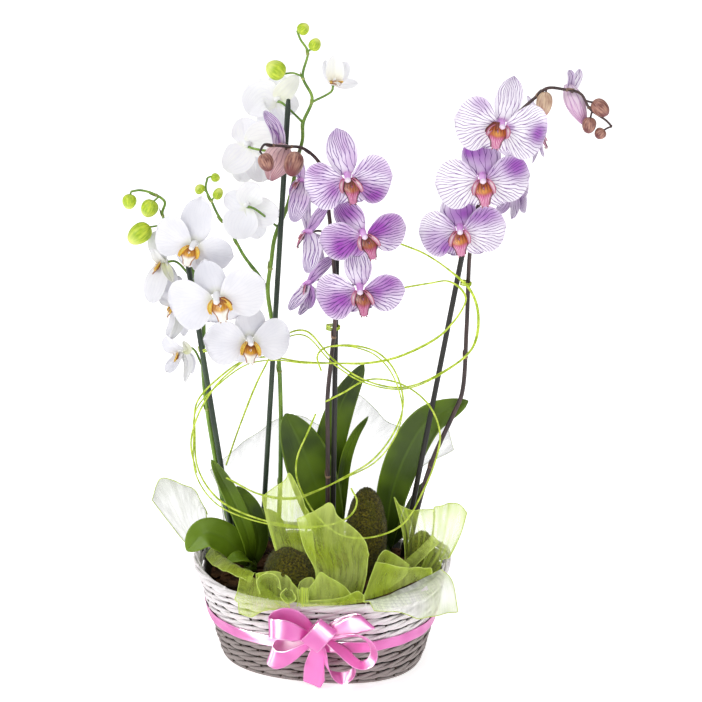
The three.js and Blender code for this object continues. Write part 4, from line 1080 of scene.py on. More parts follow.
# A bud is x, y, z, width, height and the x, y, z of the place on the stem that it hangs from.
STEMS = {
    "stem_front_left": {
        "colour": "green",
        "lower": [[-90, 34, 58], [-91, 33, 100], [-103, 28, 150], [-112, 20, 215], [-119, 17, 279],
                  [-120, 15, 320], [-118, 14, 355], [-122, 14, 392]],
        "upper": [[-122, 14, 392], [-132, 15, 425], [-148, 15, 452], [-155, 14, 468], [-152, 13, 480],
                  [-162, 12, 488], [-175, 11, 492], [-184, 10, 491]],
        "buds": [[-186, 9, 481, 14, 15, -184, 10, 491], [-167, 10, 474, 17, 18, -158, 12, 485],
                 [-177, 4, 450, 20, 26, -152, 15, 458]],
        "bud_paints": ["bud_green"],
    },
    "stem_back_left": {
        "colour": "green",
        "lower": [[-50, 64, 58], [-49, 63, 100], [-46, 60, 160], [-44, 57, 250], [-46, 56, 312],
                  [-52, 54, 350], [-55, 51, 380], [-51, 50, 410], [-47, 52, 435], [-33, 52, 470],
                  [-22, 49, 520]],
        "upper": [[-22, 49, 520], [-18, 48, 535], [-17, 47, 552], [-8, 46, 576], [-17, 46, 597],
                  [-12, 46, 621], [-19, 46, 633], [-22, 46, 641]],
        "second": [[-55, 51, 380], [-65, 48, 398], [-78, 48, 416], [-91, 50, 440], [-103, 48, 458],
                   [-109, 42, 474], [-114, 38, 488], [-112, 36, 499]],
        "buds": [[-16, 46, 643, 12, 12, -22, 46, 641], [-5, 46, 628, 12, 13, -13, 46, 618],
                 [-43, 37, 605, 19, 20, -17, 46, 597], [-104, 38, 499, 9, 9, -112, 36, 499],
                 [-120, 36, 488, 11, 9, -113, 39, 484], [-102, 38, 483, 10, 13, -109, 42, 474]],
        "bud_paints": ["bud_green"],
    },
    "stem_middle": {
        "colour": "dark",
        "lower": [[1, 27, 58], [2, 26, 100], [5, 24, 141], [6, 20, 230], [6, 18, 275], [10, 14, 317],
                  [14, 11, 360], [14, 11, 400], [11, 14, 442], [6, 17, 490]],
        "upper": [[6, 17, 490], [3, 18, 510], [-5, 18, 523], [-18, 15, 533], [-32, 11, 535],
                  [-44, 5, 537], [-53, -2, 539], [-57, -6, 533]],
        "buds": [[-51, -8, 523, 15, 18, -57, -6, 533], [-25, -7, 521, 19, 26, -18, 15, 533]],
        "bud_paints": ["bud_brown"],
    },
    "stem_right": {
        "colour": "dark",
        "lower": [[92, 30, 58], [93, 30, 100], [102, 34, 150], [116, 41, 197], [137, 41, 249],
                  [145, 39, 272], [148, 37, 343], [149, 36, 418], [151, 31, 445], [157, 27, 479],
                  [171, 27, 529]],
        "upper": [[171, 27, 529], [180, 28, 548], [192, 29, 564], [207, 30, 578], [219, 30, 588],
                  [236, 30, 587], [252, 30, 583], [262, 30, 568], [278, 30, 557], [284, 30, 551]],
        "buds": [[217, 28, 573, 16, 24, 219, 30, 588], [272, 30, 569, 16, 20, 258, 30, 576],
                 [262, 31, 552, 14, 16, 264, 30, 566], [273, 30, 544, 12, 11, 284, 30, 551]],
        "bud_paints": ["bud_tan", "bud_brown"],
    },
}
BRACT_LONG = 8
SPRAY_SCARS = (0.2, 0.42, 0.62, 0.82)
SCARS = {  # shares of a lower stem's length where a leaf scar rings it
    "stem_front_left": (0.3, 0.62),
    "stem_back_left": (0.22, 0.5, 0.74),
    "stem_middle": (0.3, 0.66),
    "stem_right": (0.28, 0.55, 0.8),
}


def stick(name, form):
    foot, top = (np.array(form[key], float) for key in ("foot", "top"))
    low = foot + (top - foot) * (ROOT_Z - foot[2]) / (top[2] - foot[2])
    shape = Shape()
    line = low + (top - low) * np.linspace(0, 1, 60)[:, None]
    shape.tube(line, [STICK_RADIUS] * 59 + [STICK_RADIUS * 0.7], 14)
    make(name + "_coated", shape, [form["paint"]], form["paint"], [name])


def bract(shape, line, share, radius, slot):
    """A leaf scar: a ring round the stem with a small pointed bract that hugs it."""
    at = int(share * (len(line) - 1))
    point, tangent = line[at], unit(line[at + 1] - line[at])
    collar = [point - tangent * 1.2, point, point + tangent * 1.2]
    shape.tube(collar, [radius, radius + 0.5, radius], 12, slot)
    side, other = sideways(tangent, (0.3, 1.0, 0.1))
    rows = []
    for h in np.linspace(0, 1, 6):
        turns = np.linspace(-1.3, 1.3, 7) * ((1 - h) ** 0.7 + 0.02)
        off = radius + 0.35 + 0.9 * h * (1 - h)
        rows.append(point + tangent * (BRACT_LONG * h) + circle(turns, off, side, other))
    shape.blade(np.array(rows), 0.35, slot)


def pedicel(shape, row, slot):
    """The stalk of a bloom, from the stem to its middle, with a swollen joint at each end."""
    _, _, at, facing, size, _, start = row
    matrix = bloom_matrix(at, facing)
    behind = [matrix[:3, 3] - matrix[:3, 2] * size * depth for depth in (PEDICEL_BEND, PEDICEL_END)]
    radii = PEDICEL_RADIUS + 0.5 * np.linspace(1, -1, 22) ** 6
    shape.tube(curve([start, *behind], 22), radii, 8, slot)


BUD_SECTION = 24


def bud(shape, row, slot_bud, slot_stalk):
    """A closed bud: an egg of three tepals that meet along seams and end in a blunt beak."""
    x, y, z, width, height = row[:5]
    centre, start = np.array((x, y, z), float), np.array(row[5:], float)
    axis = unit(centre - start) if np.linalg.norm(centre - start) > 1 else np.array((0, 0, -1.0))
    axis = unit(axis + np.array((0, 0, -0.35)) * np.sign(start[2] - z + 0.1))
    side, other = sideways(axis, (0.2, 1.0, 0.3))
    rows, flats = [], []
    turns = ring_turns(BUD_SECTION)
    for lean in np.linspace(0.04, math.pi - 0.04, 18):
        share = (1 - math.cos(lean)) / 2
        swell = math.sin(lean) ** 0.9 * (1 + 0.12 * math.cos(lean))
        radius = width / 2 * swell * (1 - 0.07 * np.abs(np.cos(1.5 * turns)) ** 6 * share)
        rows.append(centre - axis * math.cos(lean) * height / 2 + circle(turns, radius, side, other))
        flats.append(spread(share, turns / FULL_TURN, 0.0))
    shape.shell(np.stack(rows), slot_bud, np.stack(flats), flip=True)
    bend = start + (centre - start) * 0.35 + np.array((0, 0, 1.2))
    shape.tube(curve([start, bend, centre - axis * height * 0.42], 12), 1.0, 8, slot_stalk)


def flower_stem(name, form):
    shape = Shape()
    lower = curve(form["lower"], 170)
    shape.tube(lower, np.linspace(STEM_RADIUS + 0.15, STEM_RADIUS - 0.45, 170), 14, 0)
    for share in SCARS[name]:
        bract(shape, lower, share, STEM_RADIUS, 1)
    for key in ("upper", "second"):
        if key in form:
            spray = curve(form[key], 90)
            shape.tube(spray, np.linspace(SPRAY_RADIUS + 0.3, SPRAY_RADIUS - 0.6, 90), 10, 0)
            for share in SPRAY_SCARS:
                bract(shape, spray, share, SPRAY_RADIUS - 0.3, 1)
    for row in BLOOMS:
        if row[5] == name:
            pedicel(shape, row, 0)
    for k, row in enumerate(form["buds"]):
        bud(shape, row, 2 + min(k, len(form["bud_paints"]) - 1), 0)
    tone = form["colour"]
    paints = ["stem_" + tone, "scar_" + tone, *form["bud_paints"]]
    make(name + "_spray", shape, paints, "stem_" + tone, [name])


# Blooms: middle, the way it faces (yaw to the viewer's right, pitch up, roll clockwise, degrees),
# width across the petals, and the stem and the place on it that carries it.
BLOOMS = [
    ["white_front_top", "white", [-121, -25, 445], [-10, -4, 7], 84, "stem_front_left", [-126, 15, 405]],
    ["white_front_middle", "white", [-98, -43, 398], [0, -10, -12], 98, "stem_front_left", [-118, 14, 362]],
    ["white_front_low", "white", [-70, -22, 348], [14, -4, 8], 86, "stem_front_left", [-119, 15, 338]],
    ["white_side_top", "white", [-155, 10, 420], [-80, 0, 0], 60, "stem_front_left", [-124, 14, 396]],
    ["white_side_middle", "white", [-144, 8, 377], [-72, -6, 0], 56, "stem_front_left", [-118, 14, 350]],
    ["white_side_low", "white", [-141, 8, 328], [-75, -12, 0], 58, "stem_front_left", [-120, 15, 309]],
    ["white_back_tip", "white", [13, 46, 590], [20, 50, 0], 54, "stem_back_left", [-9, 46, 572]],
    ["white_back_top", "white", [-44, 64, 571], [-150, 4, 0], 74, "stem_back_left", [-17, 47, 552]],
    ["white_back_middle", "white", [-74, 62, 526], [-150, 0, 0], 80, "stem_back_left", [-22, 49, 519]],
    ["white_back_low", "white", [-74, 34, 471], [-140, 0, 0], 64, "stem_back_left", [-43, 52, 445]],
    ["striped_middle_top", "striped", [27, -26, 511], [0, -3, -4], 90, "stem_middle", [3, 18, 508]],
    ["striped_middle_centre", "striped", [42, -14, 453], [10, -4, -12], 88, "stem_middle", [10, 15, 447]],
    ["striped_middle_low", "striped", [39, 1, 394], [0, -6, -3], 92, "stem_middle", [14, 11, 390]],
    ["striped_side_top", "striped", [-18, 27, 498], [-76, 0, 0], 54, "stem_middle", [8, 16, 470]],
    ["striped_side_centre", "striped", [-12, 19, 448], [-84, -4, 0], 62, "stem_middle", [12, 14, 434]],
    ["striped_side_low", "striped", [-13, 24, 394], [-70, -16, 0], 58, "stem_middle", [14, 11, 386]],
    ["striped_half_open", "striped", [-39, 25, 516], [-20, -20, 0], 42, "stem_middle", [-32, 11, 535]],
    ["pale_right_top", "pale", [170, -30, 562], [2, -4, 10], 90, "stem_right", [181, 28, 549]],
    ["pale_right_middle", "pale", [156, -11, 507], [-2, -4, -6], 94, "stem_right", [164, 27, 503]],
    ["pale_right_low", "pale", [137, 6, 453], [-4, -4, -10], 90, "stem_right", [151, 31, 443]],
    ["pale_back_top", "pale", [212, 60, 540], [104, 0, 0], 70, "stem_right", [192, 29, 564]],
    ["pale_back_low", "pale", [192, 54, 486], [112, -4, 0], 74, "stem_right", [158, 27, 484]],
    ["pale_half_open", "pale", [243, 45, 576], [20, -60, 0], 40, "stem_right", [244, 30, 585]],
]

# Tepals, as shares of a bloom's width. aim is in degrees from the bloom's right; a sepal's veins run side by
# side and a petal's fan out from its claw.
SEPAL = {"claw": 0.36, "peak": 0.5, "round": 2.0, "back": 0.08, "cup": 0.03, "layer": -0.03, "wave": 0.007,
         "veins": 3.2, "fan": False, "flare": 0.85, "blunt": 0.52, "tip": 0}
PETAL = {"claw": 0.16, "peak": 0.5, "round": 2.3, "back": 0.1, "cup": 0.05, "layer": 0.02, "wave": 0.011,
         "veins": 3.7, "fan": True, "flare": 0.85, "blunt": 0.52, "tip": 0}
CLAW_START = 0.045
FAN_ANGLE = 2.1  # radians that a petal's veins fan out over
MARGIN_SHARP = 14
TEPALS = [
    {**SEPAL, "aim": 90, "length": 0.53, "width": 0.35},
    {**SEPAL, "aim": -118, "length": 0.45, "width": 0.28},
    {**SEPAL, "aim": -62, "length": 0.45, "width": 0.28},
    {**PETAL, "aim": 183, "length": 0.49, "width": 0.57},
    {**PETAL, "aim": -3, "length": 0.49, "width": 0.57},
]
# How the tepals of each front bloom differ from those, in the same order: degrees, and factors of their
# length and width
TRIMS = {
    "plain": [(0, 1, 1)] * 5,
    "white_front_top": [(-2, 1.08, 1.1), (0, 0.7, 0.9), (8, 0.9, 1.1), (-22, 1, 0.88), (-6, 0.95, 0.75)],
    "white_front_middle": [(6, 0.74, 0.9), (0, 0.75, 0.9), (0, 0.7, 0.9), (-5, 1.03, 0.98), (9, 1.0, 0.9)],
    "white_front_low": [(4, 0.8, 1.0), (0, 0.7, 0.9), (0, 0.6, 0.9), (2, 1.05, 0.95), (16, 1.0, 0.9)],
    "striped_middle_top": [(9, 1.0, 0.95), (0, 0.72, 0.8), (0, 0.7, 0.8), (9, 0.97, 0.93), (0, 0.97, 0.93)],
    "striped_middle_centre": [(24, 0.9, 0.9), (-4, 0.66, 0.8), (0, 0.6, 0.8), (-6, 1, 0.78),
                              (-2, 1.02, 0.78)],
    "striped_middle_low": [(2, 0.9, 0.86), (-4, 0.7, 0.8), (0, 0.6, 0.8), (7, 1.0, 0.95), (-3, 1.0, 0.74)],
    "pale_right_top": [(-5, 0.97, 0.82), (0, 0.7, 0.8), (4, 0.85, 0.8), (0, 0.99, 1.0), (0, 1.02, 1.02)],
    "pale_right_middle": [(-1, 0.86, 1.15), (0, 0.7, 0.8), (6, 0.85, 0.8), (-2, 1.0, 0.93), (1, 1.0, 0.86)],
    "pale_right_low": [(-2, 0.8, 1.12), (0, 0.75, 0.8), (6, 0.85, 0.8), (-6, 0.94, 0.92), (0, 1.03, 0.92)],
}
LIP_SHIFTS = {  # right and up, as shares of the bloom's width
    "striped_middle_top": (0.04, 0.0),
    "striped_middle_centre": (0.03, 0.0),
    "striped_middle_low": (0.03, 0.0),
    "pale_right_top": (-0.045, 0.02),
    "pale_right_low": (-0.02, 0.0),
    "white_front_top": (-0.02, 0.02),
    "white_front_middle": (0.03, 0.03),
}
TEPAL_ROWS = 26
TEPAL_COLUMNS = 19
TEPAL_THICK = 0.8

# Purple washes on the petals: right and up of the bloom's middle, reach and strength, as shares of its width
WASHES = {
    "striped_middle_top": [(0.14, -0.1, 0.07, 0.8), (0.27, -0.2, 0.08, 1.0), (-0.12, -0.07, 0.07, 0.6),
                           (-0.2, -0.17, 0.07, 0.5), (-0.33, 0.16, 0.09, 0.7), (-0.05, 0.4, 0.07, 0.4)],
    "striped_middle_centre": [(-0.12, 0.3, 0.1, 0.9), (-0.18, -0.12, 0.12, 1.0), (-0.37, 0.02, 0.13, 0.45),
                              (0.12, 0.03, 0.07, 0.8), (0.25, 0.14, 0.16, 0.55), (0.38, 0, 0.14, 0.45)],
    "striped_middle_low": [(-0.22, -0.17, 0.11, 0.75), (-0.4, -0.05, 0.11, 0.4), (0.13, -0.06, 0.08, 0.8),
                           (0.27, 0.12, 0.13, 0.5), (0.4, 0.05, 0.1, 0.45), (-0.13, -0.06, 0.07, 0.5)],
    "pale_right_top": [(0.42, -0.02, 0.08, 1.0), (0.1, 0.0, 0.03, 0.7), (-0.07, 0.01, 0.03, 0.6),
                       (-0.24, 0.22, 0.08, 0.55)],
    "pale_right_middle": [(0, 0.27, 0.13, 0.8), (-0.12, 0.38, 0.09, 0.7), (0.36, 0.12, 0.11, 1.0),
                          (0.08, 0.06, 0.05, 0.5)],
    "pale_right_low": [(-0.02, 0.17, 0.09, 0.8), (0.24, 0.2, 0.12, 0.9), (0.42, 0.1, 0.08, 0.5),
                       (-0.26, -0.1, 0.12, 0.6), (-0.14, -0.16, 0.07, 0.6)],
    "pale": [(0.3, 0.1, 0.16, 0.8), (-0.28, -0.05, 0.15, 0.6), (0.1, -0.3, 0.14, 0.6)],
}


def bloom_matrix(at, facing):
    """From a bloom's own frame, where it faces +Z with +Y up, to the layout frame."""
    yaw, pitch, roll = (math.radians(a) for a in facing)
    front = np.array((math.sin(yaw) * math.cos(pitch), -math.cos(yaw) * math.cos(pitch), math.sin(pitch)))
    right = unit(np.cross((0, 0, 1), front))
    up = np.cross(front, right)
    tilted = up * math.cos(roll) + right * math.sin(roll)
    matrix = np.eye(4)
    matrix[:3, :3] = np.stack([np.cross(tilted, front), tilted, front], 1)
    matrix[:3, 3] = at
    return matrix


def margin_at(t, s):
    """From 0 within a tepal to 1 at its margin."""
    return np.maximum(np.abs(s), t) ** MARGIN_SHARP


def wash_at(x, y, washes):
    """How strongly the washes colour each point of a bloom, up to 1."""
    total = 0 * x
    for across, up, far, power in washes:
        away = (x - across) ** 2 + (y - up) ** 2
        total = total + power * np.exp(-(away / (1.5 * far) ** 2) ** 1.6)
    return np.clip(total, 0, 1)


def vein_places(kind, out, side, s, width, broad):
    """Which vein each point of a tepal is on, counted from its midrib, and how far apart they are there."""
    if kind["fan"]:
        reach = np.hypot(out, side)
        apart = FAN_ANGLE / kind["veins"] / 2
        return np.arctan2(side, out - 0.015) * (1 - 0.25 * reach) / apart, reach * apart
    return s * np.minimum(broad * 1.3, 1) * kind["veins"] / 2, width * broad / kind["veins"]


def tepal(shape, kind, size, seed, washes, trim):
    """One sepal or petal: round-ended, arched back along its length and waved at its margin."""
    rng = random.Random(seed)
    aim_by, long_by, wide_by = trim
    aim = math.radians(kind["aim"] + aim_by)
    t, s, broad = profile(kind)
    width = kind["width"] * wide_by
    side = width / 2 * s * broad
    out = CLAW_START + (kind["length"] * long_by - CLAW_START) * t * (1 - 0.03 * s * s * t)
    wave = kind["wave"] * np.sin(7 * t + 2.2 * s + rng.uniform(0, FULL_TURN)) * np.abs(s) ** 2 * t * 1.6
    crease = -0.01 * np.exp(-(s / 0.14) ** 2) * t * (1 - t) * 3
    swing = 0.022 * np.sin(2.6 * s + rng.uniform(0, FULL_TURN)) * t * (1.2 - t)
    arch = kind["back"] * (1 + rng.uniform(-0.25, 0.35))
    depth = kind["layer"] + 0.1 * t - (0.1 + arch) * t * t + kind["cup"] * s * s * t + wave + crease + swing
    cos, sin = math.cos(aim), math.sin(aim)
    x, y = out * cos - side * sin, out * sin + side * cos
    flat = spread(np.hypot(out, side), *vein_places(kind, out, side, s, width, broad))
    tone = spread(wash_at(x, y, washes), margin_at(t, s), seed * 0.37)
    thick = TEPAL_THICK * (1 - 0.55 * np.abs(s) ** 3) * (1 - 0.4 * t**4)
    shape.blade(size * spread(x, y, depth), thick[..., None], 0, flat, tone)


LIP_WIDTH = ([0, 0.1, 0.3, 0.42, 0.58, 0.76, 0.9, 1], [0.42, 0.6, 0.92, 1.0, 0.76, 0.5, 0.44, 0.42])
# Half its width, where it starts below the middle, its length, and its keel, as shares of the bloom's width
LIPS = {
    "white": {"half": 0.115, "top": 0.0, "long": 0.2, "keel": 0.05},
    "striped": {"half": 0.112, "top": -0.02, "long": 0.25, "keel": 0.045},
    "pale": {"half": 0.128, "top": -0.02, "long": 0.25, "keel": 0.04},
}


def lobe(shape, size, hand, shift):
    """One of the two lobes that stand up beside the lip; hand is -1 for the left and 1 for the right."""
    u = np.linspace(0, 1, 14)[:, None]
    v = np.linspace(-1, 1, 11)[None, :]
    half = 0.019 * np.sin(math.pi * (0.1 + 0.8 * u)) ** 0.7
    x = hand * (0.04 + 0.14 * u - 0.075 * u * u) + half * v + shift[0] * u
    y = 0.02 - 0.1 * u - 0.03 * u * u + shift[1] * u + half * v * hand * 0.5
    z = 0.05 + 0.1 * u + 0.02 * v * v
    shape.blade(size * spread(x, y, z), 0.8, 2, spread(u, v, 0.0))


def tendril(shape, size, hand, low, shift):
    """One of the two tendrils that curl forward from the lip's tip."""
    points = [(hand * 0.02, 0.01 - low, 0.175), (hand * 0.028, -0.008 - low, 0.19),
              (hand * 0.036, -low, 0.205), (hand * 0.032, 0.014 - low, 0.21)]
    line = curve(np.array(points) + (shift[0], 0, 0), 10)
    shape.tube(size * line, np.linspace(0.006, 0.003, 10) * size, 6, 1)


CALLUS = [(0, -0.045, 0.1), (0, -0.06, 0.125), (0, -0.07, 0.14)]
CALLUS_RADII = [0.012, 0.016, 0.018, 0.018, 0.016, 0.013, 0.01, 0.006]


def lip(shape, size, form, shift):
    """The lip: a keeled shield that hangs forward with a narrow tip, and what stands beside and on it."""
    t = np.linspace(0, 1, 25)[:, None]
    s = np.linspace(-1, 1, 15)[None, :]
    x = np.interp(t, *LIP_WIDTH) * form["half"] * s + shift[0]
    y = -form["top"] - form["long"] * (t - 0.08 * np.abs(s) * t) + shift[1]
    keel = form["keel"] * np.abs(s) ** 1.3 * np.sin(math.pi * t)
    z = 0.055 + 0.13 * np.sin(math.pi * 0.6 * t) - keel + 0.02 * t**4
    shape.blade(size * spread(x, y, z), 1.0, 1, spread(t, s, 0.0))
    for hand in (-1, 1):
        lobe(shape, size, hand, shift)
        tendril(shape, size, hand, form["top"] + form["long"] - shift[1], shift)
    callus = curve(np.array(CALLUS) + (*shift, 0), len(CALLUS_RADII))
    shape.tube(size * callus, np.array(CALLUS_RADII) * size, 10, 1)


COLUMN = [(0, 0.03, -0.06), (0, 0.03, 0.02), (0, 0.022, 0.06), (0, 0.012, 0.085)]
COLUMN_CAP = [(0, 0.014, 0.08), (0, 0.004, 0.1), (0, -0.012, 0.112)]
CAP_RADII = ([0, 0.3, 0.7, 1], [0.026, 0.033, 0.031, 0.014])  # shares of its length, and the radius there


def column(shape, size):
    """The column above the lip, and the round pale cap at its end."""
    shape.tube(size * curve(COLUMN, 12), np.linspace(0.045, 0.03, 12) * size, 14, 3)
    radii = np.interp(np.linspace(0, 1, 10), *CAP_RADII)
    shape.tube(size * curve(COLUMN_CAP, 10), radii * size, 12, 4)


# Blooms that the photograph shows from behind, from the side or half open. Each tepal runs from the bloom's
# middle through places in the photograph (across, down, behind the basket's middle) to its tip, and has its
# breadth, the way that its broad face turns in the layout, and the strength of its wash.
TURNED = {
    "striped_side_top": [
        ([[300, 200, 14], [293, 222, 10]], 21, (-0.2, -1, 0.1), 0.15),
        ([[307, 195, 30], [304, 214, 32]], 12, (-0.5, -0.8, 0), 0.9),
        ([[299, 168, 26], [296, 156, 28]], 13, (-0.3, -0.9, 0), 0.4),
        ([[310, 190, 40], [318, 205, 48]], 22, (-0.6, -0.6, 0), 0.3),
        ([[296, 186, 32], [290, 196, 36]], 10, (-0.3, -0.9, 0.3), 0.5)],
    "striped_side_centre": [
        ([[312, 250, 6], [307, 273, 2]], 19, (0.2, -1, 0), 0.0),
        ([[318, 217, 14], [327, 204, 12]], 12, (-0.3, -0.9, 0), 0.7),
        ([[306, 212, 22], [307, 190, 26]], 11, (-0.3, -0.9, 0), 0.1),
        ([[320, 236, 34], [331, 246, 44]], 22, (-0.6, -0.6, 0), 0.3),
        ([[317, 248, 28], [323, 263, 32]], 11, (-0.3, -0.9, 0), 0.2)],
    "striped_side_low": [
        ([[320, 269, 18], [334, 257, 14]], 13, (-0.2, -0.9, 0.3), 0.8),
        ([[310, 296, 20], [308, 309, 18]], 14, (-0.3, -0.9, 0), 1.0),
        ([[300, 296, 16], [289, 310, 12]], 13, (-0.3, -0.9, 0.2), 0.1),
        ([[308, 300, 24], [299, 315, 22]], 10, (-0.3, -0.9, 0), 0.4),
        ([[316, 290, 36], [326, 300, 44]], 20, (-0.6, -0.6, 0), 0.3)],
    "white_side_top": [
        ([[156, 284, 0], [151, 303, -4]], 25, (-0.4, -0.9, 0.1), 0.0),
        ([[158, 246, 6], [164, 230, 8]], 23, (-0.5, -0.8, 0), 0.0),
        ([[170, 280, 8], [172, 302, 10]], 19, (-0.2, -1, 0), 0.0),
        ([[167, 270, 2], [173, 282, -2]], 10, (0.4, -0.9, 0.2), 1.0),
        ([[158, 258, 2], [153, 249, -2]], 12, (-0.4, -0.9, 0.4), 0.3)],
    "white_side_middle": [
        ([[179, 322, 2], [171, 339, -2]], 14, (0.7, -0.7, 0), 0.25),
        ([[185, 318, 8], [183, 336, 10]], 13, (-0.2, -1, 0), 0.0),
        ([[166, 299, 2], [159, 296, 0]], 14, (-0.4, -0.8, 0.4), 0.0),
        ([[174, 326, 12], [167, 336, 14]], 14, (-0.4, -0.9, 0), 0.0),
        ([[176, 290, 14], [179, 276, 16]], 20, (-0.4, -0.9, 0), 0.0)],
    "white_side_low": [
        ([[172, 347, 0], [165, 337, -2]], 18, (-0.5, -0.8, 0.3), 0.0),
        ([[173, 364, -2], [166, 372, -4]], 14, (-0.4, -0.8, 0.5), 0.0),
        ([[188, 362, 2], [185, 382, 0]], 10, (0.4, -0.9, 0), 0.15),
        ([[191, 358, 8], [192, 374, 10]], 9, (-0.3, -0.9, 0), 0.0),
        ([[188, 350, 4], [183, 341, 2]], 8, (0.3, -0.9, 0), 1.0)],
    "white_back_tip": [
        ([[328, 74, 44], [325, 60, 42]], 10, (0, -1, 0.2), 0.0),
        ([[335, 72, 40], [334, 55, 36]], 18, (0, -1, 0.2), 0.5),
        ([[341, 74, 46], [347, 62, 46]], 15, (0.2, -1, 0.2), 0.0),
        ([[345, 84, 50], [358, 83, 54]], 12, (0, -0.8, 0.6), 0.0),
        ([[338, 74, 56], [340, 62, 60]], 16, (0, -1, 0), 0.0)],
    "white_back_top": [
        ([[284, 92, 58], [298, 76, 52]], 20, (0.1, -1, 0.1), 0.6),
        ([[262, 98, 58], [248, 114, 52]], 37, (-0.1, -1, 0.1), 0.0),
        ([[272, 120, 70], [268, 138, 76]], 30, (0, -1, 0), 0.0),
        ([[286, 104, 68], [298, 108, 72]], 24, (0.1, -1, 0), 0.0),
        ([[278, 86, 70], [276, 74, 74]], 24, (0, -1, 0.1), 0.0)],
    "white_back_middle": [
        ([[264, 140, 56], [284, 138, 50]], 38, (0.1, -1, 0.1), 0.1),
        ([[240, 156, 58], [225, 170, 54]], 32, (-0.1, -1, 0.1), 0.0),
        ([[246, 132, 60], [241, 118, 58]], 30, (0, -1, 0.1), 0.0),
        ([[258, 164, 66], [262, 182, 68]], 30, (0, -1, 0), 0.0),
        ([[244, 166, 68], [240, 182, 70]], 26, (0, -1, 0), 0.0)],
    "white_back_low": [
        ([[241, 222, 30], [236, 239, 26]], 36, (-0.1, -1, 0.1), 0.0),
        ([[250, 195, 30], [258, 184, 28]], 27, (0.1, -1, 0.2), 0.1),
        ([[234, 200, 32], [225, 195, 30]], 22, (-0.1, -1, 0.1), 0.0),
        ([[262, 212, 34], [279, 214, 32]], 30, (0.1, -1, 0.1), 0.1),
        ([[254, 224, 40], [260, 238, 42]], 24, (0, -1, 0), 0.0)],
    "striped_half_open": [
        ([[277, 132, 22], [264, 111, 18]], 14, (0.3, -0.9, 0.1), 0.05),
        ([[278, 138, 20], [271, 127, 17]], 5, (0.8, -0.5, 0), 1.0)],
    "pale_half_open": [
        ([[571, 79, 40], [569, 70, 38]], 9, (0.4, -0.9, 0.1), 0.6),
        ([[577, 80, 42], [580, 69, 42]], 9, (-0.2, -0.9, 0.2), 0.1)],
}
VEIN_UNIT = 15  # millimetres across a turned tepal from one main vein to the next
VEIN_SPACING = VEIN_UNIT / 180  # the same as a share of a bloom's width, as the paint takes it
# The closed part of a half-open bloom: its ends in the photograph, how far behind the basket's middle it is,
# and its width in millimetres
CLOSED = {
    "striped_half_open": {"ends": [[285, 144, 24], [270, 180, 20]], "width": 27},
    "pale_half_open": {"ends": [[567, 84, 44], [585, 124, 40]], "width": 17},
}


def half_breadth(t, form):
    """The half breadth of a petal or leaf along it, from its claw to its tip, as a share of its widest."""
    claw, peak = form["claw"], form["peak"]
    rising = claw + (1 - claw) * np.sin(math.pi / 2 * np.minimum(t / peak, 1)) ** form["flare"]
    falling = (1 - np.clip((t - peak) / (1 - peak), 0, 1) ** form["round"]) ** form["blunt"]
    return rising * np.maximum(falling, form["tip"])


def profile(kind):
    """Places along and across a tepal, and how its half breadth runs from its claw to its tip."""
    t = (1 - np.cos(np.linspace(0, 1, TEPAL_ROWS) * math.pi * 0.97)) / 2
    t = (t / t[-1] * 0.997)[:, None]
    s = np.sin(np.linspace(-1, 1, TEPAL_COLUMNS) * math.pi / 2)[None, :]
    return t, s, half_breadth(t, kind)


def along_rib(line, face, across, lift):
    """The grid of a blade about its midrib, whose upper face turns to the given side."""
    tangents = unit(np.gradient(line, axis=0))
    side = unit(np.cross(tangents, face))
    upper = np.cross(side, tangents)
    return line[:, None] + side[:, None] * across[..., None] + upper[:, None] * lift[..., None]


def turned_tepal(shape, centre, form, seed):
    """A tepal of a bloom that turns away, along its own midrib."""
    spots, width, face, wash = form
    t, s, broad = profile(SEPAL)
    line = smooth([centre, *seen(spots)], TEPAL_ROWS * 4)
    line = sampled(line, np.linspace(0, 1, len(line)), t[:, 0])
    half = width / 2 * broad
    lift = 0.16 * half * s * s - 0.8 * np.exp(-(s / 0.12) ** 2) + 0.5 * np.sin(6 * t + 2 * s + seed) * s * s
    flat = spread(0.06 + 0.4 * t, s * width / VEIN_UNIT, VEIN_SPACING * broad)
    tone = spread(wash * (1 - 0.6 * t), margin_at(t, s), seed * 0.37)
    shape.blade(along_rib(line, face, half * s, lift), TEPAL_THICK * 0.8, 0, flat, tone)


def closed_part(shape, form):
    """Three broad tepals still shut to an egg, one over the edge of the next."""
    top, bottom = seen(form["ends"])
    axis = unit(bottom - top)
    side, other = sideways(axis, (0, 1, 0))
    t = np.linspace(0, 1, 24)[:, None]
    across = np.linspace(-1, 1, 17)[None, :]
    swell = np.sin(math.pi * (0.03 + 0.94 * t)) ** 0.75 * (1 + 0.18 * np.cos(math.pi * t))
    spacing = VEIN_SPACING * np.sin(math.pi * (0.1 + 0.8 * t))
    for k in range(3):
        turns = (k + 0.62 * across) * FULL_TURN / 3 - 1.2
        radius = form["width"] / 2 * swell * (1 - 0.12 * across**4) + 0.5 * k
        grid = (top + (bottom - top) * t[..., None] + (radius * np.cos(turns))[..., None] * side
                + (radius * np.sin(turns))[..., None] * other)
        flat = spread(0.15 + 0.3 * t, across * form["width"] / VEIN_UNIT, spacing)
        tone = spread(0.1 + 0.7 * t**2, margin_at(0, across), 0.9 + k)
        shape.blade(grid, 0.7, 1, flat, tone)


